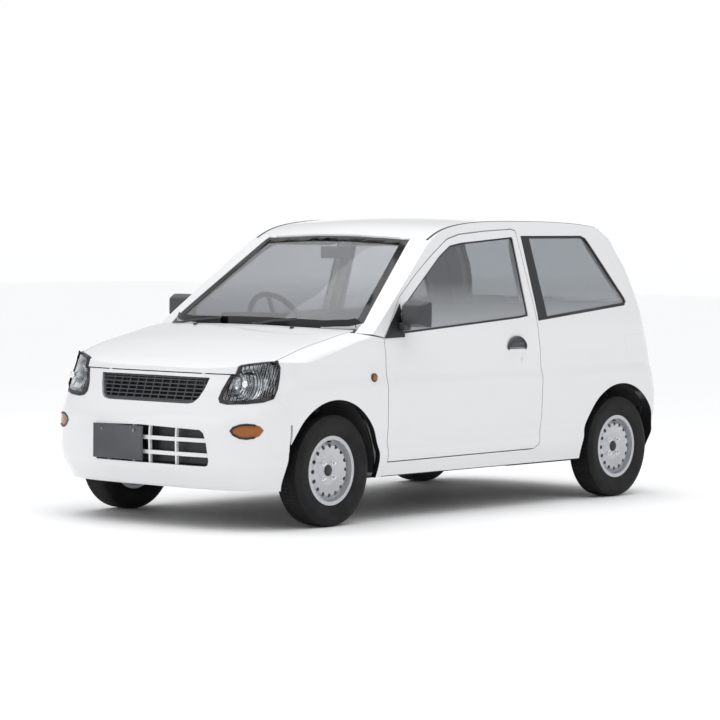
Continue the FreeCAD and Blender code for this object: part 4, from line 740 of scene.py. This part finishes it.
def blank_plate(name, middle, out, body, flat, bolt_lift):
    """A plain plate with a raised rim, and its two bolts. out is -1 in front and 1 behind."""
    plate = block((0.330, 0.004, 0.165), middle, 0.0015, 2)
    recess(plate, lambda at, normal: normal.y * out > flat, (0.006, 0), (0.0015, -0.0008))
    bolts = [disc(0.0065, 0.004, middle + Vector((across, out * bolt_lift, 0.058)), "Y", sides=24)
             for across in (-0.105, 0.105)]
    settle(plate, name, plate_paint, body)
    settle(merge(bolts), f"{name}_bolts", bare_steel, body)
    return plate


plate_middle = Vector((-0.143, -1.7005, 0.391))
front_plate = blank_plate("front_plate", plate_middle, -1, "car_body", flat=0.9, bolt_lift=0.003)
bracket = block((0.20, 0.018, 0.03), (-0.143, -1.689, 0.391), 0.002, 2)
settle(bracket, "front_plate_bracket", black_paint)
print("front plate", [round(v, 3) for v in front_plate.dimensions])

# %% Fit the wing repeaters and the locks


def meet(node, start, way):
    """Where a line from a point, along a way, meets a CAD piece."""
    hit, place, normal, index = nodes[node].ray_cast(Vector(start), Vector(way))
    if not hit:
        raise ValueError(f"no {node} from {start}")
    return place


for side, word in sides:
    place = meet(f"front_fender_{word}", (side * 1.2, -0.836, 0.702), (-side, 0, 0))
    lamp_ring = disc(0.0215, 0.010, place + Vector((side * 0.001, 0, 0)), "X", edge=0.002)
    settle(lamp_ring, f"repeater_ring_{word}", seal)
    repeater = ball(0.017, place + Vector((side * 0.004, 0, 0)), (0.5, 1, 1))
    settle(repeater, f"repeater_{word}", amber)
    place = meet(f"door_{word}", (side * 1.2, 0.349, 0.758), (-side, 0, 0))
    lock = disc(0.010, 0.006, place + Vector((side * 0.001, 0, 0)), "X", edge=0.001)
    recess(lock, lambda at, normal: normal.x * side > 0.9, (0.002, -0.001))
    settle(lock, f"door_lock_{word}", chrome, f"door_{word}")
print("repeaters and locks ready")

# %% [markdown]
# The door handle is a black flap in a half-round dish: fingers go under the flap and pull it
# outwards. The dish is half of a flattened disc, hollowed with insets, and the flap is a
# rounded bar across its upper half.

# %% Model the door handles
for side, word in sides:
    place = meet(f"door_{word}", (side * 1.2, 0.324, 0.842), (-side, 0, 0))
    bpy.ops.mesh.primitive_cylinder_add(vertices=48, radius=0.5, depth=1, location=(0, 0, 0),
                                        rotation=(0, math.pi / 2, 0))
    dish = bpy.context.active_object
    bake(turn=True)
    dish.scale = (0.012, 0.150, 0.104)
    bake(scale=True)
    open_all(dish)
    bpy.ops.mesh.bisect(plane_co=(0, 0, -0.008), plane_no=(0, 0, 1), clear_inner=True, use_fill=True)
    close_edit()
    apply_modifier(dish, "BEVEL", width=0.0025, segments=3, angle_limit=0.6)
    recess(dish, lambda at, normal: normal.x * side > 0.95 and abs(at.x) > 0.005,
           (0.005, 0), (0.002, -0.0075), even=False)
    dish.location = place + Vector((-side * 0.0005, -0.016, -0.022))
    flap = block((0.011, 0.112, 0.020), place + Vector((side * 0.0045, -0.016, -0.002)), 0.005, 4)
    pick(flap, lambda at, normal: normal.x * side > 0.9 and abs(at.x) > 0.002)
    bpy.ops.transform.resize(value=(1, 0.86, 0.7))
    close_edit()
    handle = merge([dish, flap])
    settle(handle, f"handle_{word}", plastic, f"door_{word}", 40)
    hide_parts(f"door_handle_{word}")
print("handles", [round(v, 3) for v in handle.dimensions])

# %% [markdown]
# Strips that follow the body are made as ribbons. One edge of a plane is extruded from point to
# point along the way, the ribbon is cut into short lengths, and a shrinkwrap lays it on the
# panel. Solidify then gives it its thickness.

# %% Lay ribbons


def ribbon(points, across, target, thick, lift=0.0006, cuts=6):
    """A strip along points, laid on a CAD piece. across is its width as a vector."""
    across = Vector(across)
    bpy.ops.mesh.primitive_plane_add(size=1)
    strip = bpy.context.active_object
    pick(strip, lambda at, along: at.x > -0.4, "EDGE")
    bpy.ops.mesh.delete(type="EDGE")
    close_edit()
    for vertex, half in zip(strip.data.vertices, (-0.5, 0.5)):
        vertex.co = Vector(points[0]) + across * half
    open_all(strip, "EDGE")
    for first, second in zip(points, points[1:]):
        step = Vector(second) - Vector(first)
        bpy.ops.mesh.extrude_region_move(TRANSFORM_OT_translate={"value": step})
    bpy.ops.mesh.select_all(action="SELECT")
    bpy.ops.mesh.subdivide(number_cuts=cuts)
    close_edit()
    if target:
        apply_modifier(strip, "SHRINKWRAP", target=target, offset=lift, wrap_method="NEAREST_SURFACEPOINT")
    apply_modifier(strip, "SOLIDIFY", thickness=thick, offset=0)
    open_all(strip)
    bpy.ops.mesh.normals_make_consistent(inside=False)
    close_edit()
    return strip


gutter = [(0.572, -0.262, 1.400), (0.566, -0.16, 1.424), (0.560, -0.04, 1.443), (0.556, 0.10, 1.456),
          (0.554, 0.30, 1.463), (0.553, 0.55, 1.465), (0.553, 0.80, 1.462), (0.553, 1.00, 1.455),
          (0.552, 1.20, 1.444)]
strip = ribbon(gutter, (0.011, 0, 0), nodes["body_side_left"], 0.003)
gutter_left = settle(strip, "roof_strip_left", seal)
twin(gutter_left, "roof_strip_right", "car_body", mirrored=True)
print("roof strips", len(gutter_left.data.polygons))

# %% [markdown]
# ### Wipers
# Each front wiper is a spring arm from a pivot at the foot of the windscreen and a blade that
# follows the curve of the glass. The blades are ribbons laid on the glass, and the arms are
# thin tapered bars.

# %% Make the wipers


def wiper(name, pivot, elbow, blade_points):
    """A pivot cap, an arm to the middle of the blade, and the blade on the glass."""
    out = Vector((0, -0.75, 0.65)).normalized()
    pivot, elbow = Vector(pivot), Vector(elbow)
    blade = ribbon(blade_points, (0, 0, 0.008), nodes["windscreen"], 0.007, lift=0.006, cuts=5)
    arm_points = [pivot + out * 0.014, (pivot + elbow) / 2 + out * 0.022, elbow + out * 0.016]
    arm = ribbon(arm_points, (0, 0.002, 0.011), None, 0.005, cuts=3)
    cap = disc(0.013, 0.022, pivot + out * 0.006, "Y", edge=0.003)
    return settle(merge([blade, arm, cap]), name, plastic)


wiper("wiper_right", (-0.50, -0.905, 0.925), (-0.22, -0.880, 0.958),
      [(-0.46, -0.862, 0.950), (-0.30, -0.872, 0.957), (-0.10, -0.876, 0.966), (0.05, -0.876, 0.972)])
wiper("wiper_left", (0.02, -0.908, 0.934), (0.27, -0.872, 0.962),
      [(0.06, -0.880, 0.952), (0.22, -0.874, 0.957), (0.38, -0.862, 0.964), (0.50, -0.846, 0.970)])
for across, word in ((-0.32, "right"), (0.32, "left")):
    place = meet("bonnet", (across, -0.975, 1.3), (0, 0, -1))
    jet = block((0.016, 0.020, 0.012), place + Vector((0, 0, 0.003)), 0.004, 3)
    settle(jet, f"washer_jet_{word}", plastic, "bonnet")
print("wipers and jets ready")

# %% [markdown]
# ## Door mirrors
# The mirror's shell is narrow in front and wide behind, like half an egg cut off flat: the wide
# end carries the glass. A box is tapered towards its front, its edges are rounded, and a
# subdivision makes it full. The black panel in the corner of the door window carries it.

# %% Model the mirrors
for side, word in sides:
    shell = cube((0.176, 0.075, 0.138))
    pick(shell, lambda at, normal: normal.y < -0.9)
    bpy.ops.transform.resize(value=(0.62, 1, 0.66))
    close_edit()
    apply_modifier(shell, "BEVEL", width=0.016, segments=3)
    apply_modifier(shell, "SUBSURF", levels=2, render_levels=2)
    recess(shell, lambda at, normal: normal.y > 0.95, (0.004, 0), (0.001, -0.004), even=False)
    shell.location = (side * 0.779, -0.5945, 1.005)
    arm = block((0.062, 0.046, 0.040), (side * 0.716, -0.598, 0.944), 0.012, 3)
    pick(arm, lambda at, normal: normal.x * side < -0.9)
    bpy.ops.transform.resize(value=(1, 1.5, 1.5))
    bpy.ops.transform.translate(value=(-side * 0.012, 0, -0.010))
    close_edit()
    mirror = merge([shell, arm])
    settle(mirror, f"mirror_shell_{word}", mirror_plastic, f"door_{word}", 50)
    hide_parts(f"mirror_{word}")
    bpy.ops.mesh.primitive_plane_add(size=1)
    glass_sheet = bpy.context.active_object
    glass_sheet.scale = (0.150, 0.112, 1)
    bake(scale=True)
    open_all(glass_sheet)
    bpy.ops.mesh.bevel(offset=0.022, segments=5, affect="VERTICES")
    close_edit()
    apply_modifier(glass_sheet, "SOLIDIFY", thickness=0.002, offset=0)
    glass_sheet.rotation_euler = (-math.pi / 2, 0, 0)
    glass_sheet.location = (side * 0.779, -0.5595, 1.005)
    settle(glass_sheet, f"mirror_glass_{word}", chrome, f"door_{word}")
    sail = merge([outer_sheet(f"door_{word}", looks_out((side, 0, 0.1))),
                  outer_sheet(f"door_glass_{word}", looks_out((side, 0, 0.2)))])
    open_all(sail)
    for corner, away in (((0, -0.590, 0.9), (0, 1, 0)), ((0, -0.75, 0.888), (0, 0.02, -1)),
                         ((0, -0.757, 0.888), (0, -0.70, 0.71))):
        bpy.ops.mesh.select_all(action="SELECT")
        bpy.ops.mesh.bisect(plane_co=corner, plane_no=away, clear_outer=True)
    close_edit()
    apply_modifier(sail, "SOLIDIFY", thickness=0.004, offset=1)
    settle(sail, f"mirror_panel_{word}", seal, f"door_{word}")
print("mirrors", [round(v, 3) for v in mirror.dimensions], "panel", len(sail.data.polygons))

# %% [markdown]
# ## Mesh behind the grille and the intake
# Between the slats sits a fine mesh of plastic. One strand is a thin bar, an array repeats it,
# and a copy of the whole turned by a right angle crosses it. Behind the intake lies a dark
# shroud, so that nobody sees through to the engine bay.

# %% Lay the mesh


def lay_strands(size, place, count, step):
    """One thin bar and its copies, each a step further."""
    strand = cube(size)
    strand.location = place
    apply_modifier(strand, "ARRAY", count=count, use_relative_offset=False,
                   use_constant_offset=True, constant_offset_displace=step)
    return strand


gauge, pitch = 0.0022, 0.011
mesh_wide, mesh_low, mesh_high, mesh_y = 0.66, 0.604, 0.704, -1.590
mesh_tall = mesh_high - mesh_low
level_strands = lay_strands((mesh_wide, gauge, gauge), (0, mesh_y, mesh_low),
                            int(mesh_tall / pitch) + 1, (0, 0, pitch))
upright_strands = lay_strands((gauge, gauge, mesh_tall),
                              (-mesh_wide / 2, mesh_y + gauge, (mesh_low + mesh_high) / 2),
                              int(mesh_wide / pitch) + 1, (pitch, 0, 0))
settle(merge([level_strands, upright_strands]), "grille_mesh", seal)
shroud = block((0.80, 0.004, 0.19), (0, -1.640, 0.39), 0.0015, 2)
recess(shroud, lambda at, normal: abs(normal.y) > 0.9, (0.012, -0.001))
settle(shroud, "intake_shroud", seal)
print("mesh and shroud ready")

# %% [markdown]
# ## Seats
# A car seat is foam under a stretched cloth cover: its panels stand full between the seams.
# Each pad is therefore made as a rounded block, remeshed into an even skin and blown up a
# little by the cloth solver, which gives the crown that a filled cover has. How far a point may
# move is capped. The seams between the middle and the side bolsters are pressed in afterwards,
# because the remesh would have swallowed them.

# %% Helpers for pads
seat_lean = math.radians(-20)


def blow_up(pad, cap):
    """Swells a remeshed pad with the cloth solver, and holds each point within the cap."""
    start = [vertex.co.copy() for vertex in pad.data.vertices]
    only(pad)
    solver = pad.modifiers.new("cloth", "CLOTH")
    solver.settings.use_pressure = True
    solver.settings.uniform_pressure_force = 4
    solver.settings.effector_weights.gravity = 0
    solver.point_cache.frame_start = 1
    solver.point_cache.frame_end = 20
    for step in range(1, 21):
        bpy.context.scene.frame_set(step)
    bpy.ops.object.modifier_apply(modifier=solver.name)
    bpy.context.scene.frame_set(1)
    for vertex, before in zip(pad.data.vertices, start):
        moved = vertex.co - before
        if moved.length > cap:
            vertex.co = before + moved.normalized() * cap


def sew(pad, lines, depth, width):
    """Presses seams into a pad. Each line is an axis and a place along it."""
    for vertex in pad.data.vertices:
        for axis, place in lines:
            away = (abs(vertex.co[axis]) if axis == 0 else vertex.co[axis]) - place
            vertex.co -= vertex.normal * depth * math.exp(-(away / width) ** 2)


def make_pad(size, radius, lines, top, waist=0.0, coarse=0.012):
    """One pad round the origin, filled and sewn."""
    pad = block(size, (0, 0, 0), radius, 4)
    bake(place=True, turn=True, scale=True)
    apply_modifier(pad, "REMESH", mode="VOXEL", voxel_size=coarse)
    blow_up(pad, 0.010)
    apply_modifier(pad, "SMOOTH", factor=0.5, iterations=4)
    for vertex in pad.data.vertices:
        vertex.co.x *= 1 - waist * (vertex.co[top] / size[top]) ** 2
    sew(pad, lines, 0.009, 0.008)
    apply_modifier(pad, "SUBSURF", levels=1, render_levels=1)
    return pad


def up_the_back(hip, out, up):
    """A place on a leaning backrest: so far out from the hip line, and so far up the lean."""
    return Vector(hip) + Matrix.Rotation(seat_lean, 3, "X") @ Vector((0, out, up))


print("pad helpers ready")

# %% Fill and sew the front seats
cushion = make_pad((0.462, 0.462, 0.125), 0.035, [(0, 0.150), (1, 0.060)], 1)
cushion.location = (0.325, 0.121, 0.405)
back = make_pad((0.456, 0.098, 0.575), 0.038, [(0, 0.145), (2, -0.06), (2, 0.12)], 2, 0.25)
back.rotation_euler = (seat_lean, 0, 0)
back.location = up_the_back((0.325, 0.306, 0.401), 0.055, 0.318)
headrest = make_pad((0.236, 0.078, 0.118), 0.034, [(2, 0.0)], 2)
headrest.rotation_euler = (seat_lean, 0, 0)
headrest.location = up_the_back((0.325, 0.306, 0.401), 0.055, 0.676)
for pad, label in ((cushion, "seat_cushion"), (back, "seat_back"), (headrest, "headrest")):
    settle(pad, f"{label}_left", cloth, angle=60)
    other = twin(pad, f"{label}_right", "car_body", mirrored=True)
print("front seats", [round(v, 3) for v in back.dimensions])

# %% Put the seats on their frames
pieces = [block((0.40, 0.40, 0.075), (0.325, 0.13, 0.318), 0.012, 2)]
for across in (0.16, 0.49):
    pieces.append(block((0.034, 0.46, 0.040), (across, 0.13, 0.246), 0.004, 2))
    pieces += [block((0.030, 0.05, 0.050), (across, along, 0.262), 0.004, 2) for along in (-0.04, 0.30)]
for across in (0.265, 0.385):
    post = disc(0.006, 0.11, (0, 0, 0), "Z", sides=16, edge=0.001)
    post.rotation_euler = (seat_lean, 0, 0)
    post.location = up_the_back((across, 0.306, 0.401), 0.055, 0.615)
    pieces.append(post)
pieces.append(disc(0.032, 0.018, (0.563, 0.322, 0.405), "X", edge=0.004))
seat_frame = settle(merge(pieces), "seat_frame_left", black_paint)
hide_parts("seat_left")
other_frame = twin(seat_frame, "seat_frame_right", "car_body", mirrored=True)
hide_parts("seat_right")
print("seat frames", len(seat_frame.data.polygons))

# %% Fill and sew the rear bench
bench_cushion = make_pad((0.905, 0.462, 0.135), 0.04, [(0, 0.0), (1, 0.02)], 1, coarse=0.014)
bench_cushion.location = (0, 0.885, 0.445)
bench_back = make_pad((0.905, 0.098, 0.590), 0.04, [(0, 0.0), (2, -0.1), (2, 0.12)], 2, coarse=0.014)
bench_back.rotation_euler = (seat_lean, 0, 0)
bench_back.location = up_the_back((0, 1.070, 0.440), 0.055, 0.320)
for pad, label in ((bench_cushion, "bench_cushion"), (bench_back, "bench_back")):
    settle(pad, label, cloth, angle=60)
bench_base = block((0.86, 0.40, 0.06), (0, 0.88, 0.388), 0.012, 3)
recess(bench_base, lambda at, normal: normal.y < -0.9, (0.012, -0.003))
settle(bench_base, "bench_base", black_paint)
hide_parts("rear_bench")
print("bench", [round(v, 3) for v in bench_back.dimensions])

# %% [markdown]
# ## What shows through the windscreen
# Behind the steering wheel stands the hood of the instruments, and the top of the dashboard has
# a demister slot and round vents. The mirror hangs from the roof on a short stalk, with a sun
# visor on each side of it.

# %% Dress the dashboard and the head of the windscreen
hood = block((0.30, 0.17, 0.075), (-0.325, -0.560, 0.945), 0.030, 5)
recess(hood, lambda at, normal: normal.y > 0.999, (0.004, 0), (0.001, -0.05), even=False)
settle(hood, "instrument_hood", plastic, angle=40)
vents = []
for across in (-0.53, -0.10, 0.10, 0.53):
    vent = disc(0.040, 0.022, (across, -0.441, 0.845), "Y", sides=40, edge=0.003)
    recess(vent, lambda at, normal: normal.y > 0.999, (0.007, 0), (0.001, -0.012), even=False)
    vents.append(vent)
    for up in (-0.018, 0, 0.018):
        vents.append(block((0.062, 0.012, 0.003), (across, -0.437, 0.845 + up), 0.001, 2))
settle(merge(vents), "dashboard_vents", plastic, angle=40)
slot_cover = block((0.72, 0.045, 0.008), (0, -0.720, 0.921), 0.003, 2)
recess(slot_cover, lambda at, normal: normal.z > 0.999, (0.010, 0), (0.001, -0.004))
settle(slot_cover, "demister_slot", seal)
console = block((0.26, 0.05, 0.26), (0, -0.432, 0.635), 0.014, 4)
recess(console, lambda at, normal: normal.y > 0.999, (0.016, 0), (0.002, -0.008))
settle(console, "centre_panel", plastic)
inner_mirror = block((0.215, 0.022, 0.062), (0.0, -0.262, 1.292), 0.010, 4)
stalk = disc(0.007, 0.075, (0.0, -0.255, 1.345), "Z", sides=16)
settle(merge([inner_mirror, stalk]), "inner_mirror", plastic)
for side, word in sides:
    visor = block((0.40, 0.150, 0.016), (side * 0.265, -0.165, 1.352), 0.007, 3,
                  (math.radians(14), 0, 0))
    bake(turn=True)
    recess(visor, lambda at, normal: normal.z < -0.9, (0.010, -0.001))
    settle(visor, f"sun_visor_{word}", cabin_plastic)
print("dashboard and mirror ready", [round(v, 3) for v in hood.dimensions])

# %% [markdown]
# ## The tail
# The tall lamps have three zones under one lens: red above, amber for turning, and clear for
# reversing. The zones are level, so a ramp over the height in object space paints them. On the
# tailgate sit a blank plate, the handle with its lamps above it, and a wiper.

# %% Divide the tail lamps into zones
tail_lens, tail_shader = new_finish("tail_lens", (0.55, 0.02, 0.02), 0.1,
                                    sockets={"Transmission Weight": 0.25})
add_grain(tail_lens, tail_shader, 350, 0.0003)
tail_tree = tail_lens.node_tree
tail_height = add_node(tail_tree, "SeparateXYZ", {"Vector": object_place(tail_tree)})
zones = add_node(tail_tree, "ValToRGB", {"Fac": tail_height.outputs["Z"]})
zones.color_ramp.interpolation = "CONSTANT"
zones.color_ramp.elements[0].color = (0.80, 0.80, 0.80, 1)
zones.color_ramp.elements[1].position = 0.755
zones.color_ramp.elements[1].color = (0.85, 0.32, 0.03, 1)
zones.color_ramp.elements.new(0.815).color = (0.50, 0.015, 0.015, 1)
tail_tree.links.new(zones.outputs["Color"], tail_shader.inputs["Base Color"])
for material_slot in nodes["tail_lamps"].material_slots:
    material_slot.material = tail_lens
print("tail lamps in", len(zones.color_ramp.elements), "zones")

# %% Fit the rear plate, the handle and the wiper


def tail_at(node, across, up):
    """Where a level line from behind meets a piece."""
    return meet(node, (across, 2.2, up), (0, -1, 0))


plate_spot = tail_at("tailgate", 0, 0.775)
blank_plate("rear_plate", plate_spot + Vector((0, 0.012, 0)), 1, "tailgate", flat=0.999, bolt_lift=0.0035)
mount = block((0.24, 0.018, 0.08), plate_spot + Vector((0, 0.002, 0)), 0.003, 2)
settle(mount, "rear_plate_mount", black_paint, "tailgate")
grip_spot = tail_at("tailgate", 0, 0.905)
grip = block((0.46, 0.030, 0.046), grip_spot + Vector((0, 0.009, 0)), 0.005, 4)
recess(grip, lambda at, normal: normal.z < -0.999, (0.003, 0), (0.001, -0.016))
settle(grip, "tailgate_grip", paint, "tailgate")
lamps = [block((0.060, 0.014, 0.010), grip_spot + Vector((across, 0.012, -0.019)), 0.003, 3)
         for across in (-0.09, 0.09)]
settle(merge(lamps), "plate_lamps", lens, "tailgate")
tail_lock = disc(0.012, 0.010, tail_at("tailgate", 0, 0.668) + Vector((0, 0.002, 0)), "Y", edge=0.001)
settle(tail_lock, "tailgate_lock", bare_steel, "tailgate")
print("rear plate at", [round(v, 3) for v in plate_spot])

# %% Make the rear wiper
wiper_points = [tail_at("tailgate_glass", across, 1.046 + 0.05 * across)
                for across in (-0.32, -0.2, -0.08, 0.02)]
rear_blade = ribbon(wiper_points, (0, 0, 0.008), nodes["tailgate_glass"], 0.007, lift=0.006, cuts=4)
pivot = tail_at("tailgate_glass", 0.06, 1.030) + Vector((0, 0.010, 0))
arm_end = tail_at("tailgate_glass", -0.15, 1.040) + Vector((0, 0.018, 0))
rear_arm = ribbon([pivot, (pivot + arm_end) / 2 + Vector((0, 0.006, 0)), arm_end],
                  (0, 0.002, 0.011), None, 0.005, cuts=3)
rear_cap = disc(0.017, 0.026, pivot - Vector((0, 0.002, 0)), "Y", edge=0.003)
settle(merge([rear_blade, rear_arm, rear_cap]), "rear_wiper", plastic, "tailgate")
for side, word in sides:
    spots = [tail_at("rear_bumper", side * across, 0.385) for across in (0.41, 0.44, 0.47, 0.50, 0.53)]
    reflex = ribbon(spots, (0, 0, 0.036), nodes["rear_bumper"], 0.006, lift=0.003)
    apply_modifier(reflex, "BEVEL", width=0.001, segments=2)
    settle(reflex, f"rear_reflector_{word}", red)
print("rear wiper and reflectors ready")
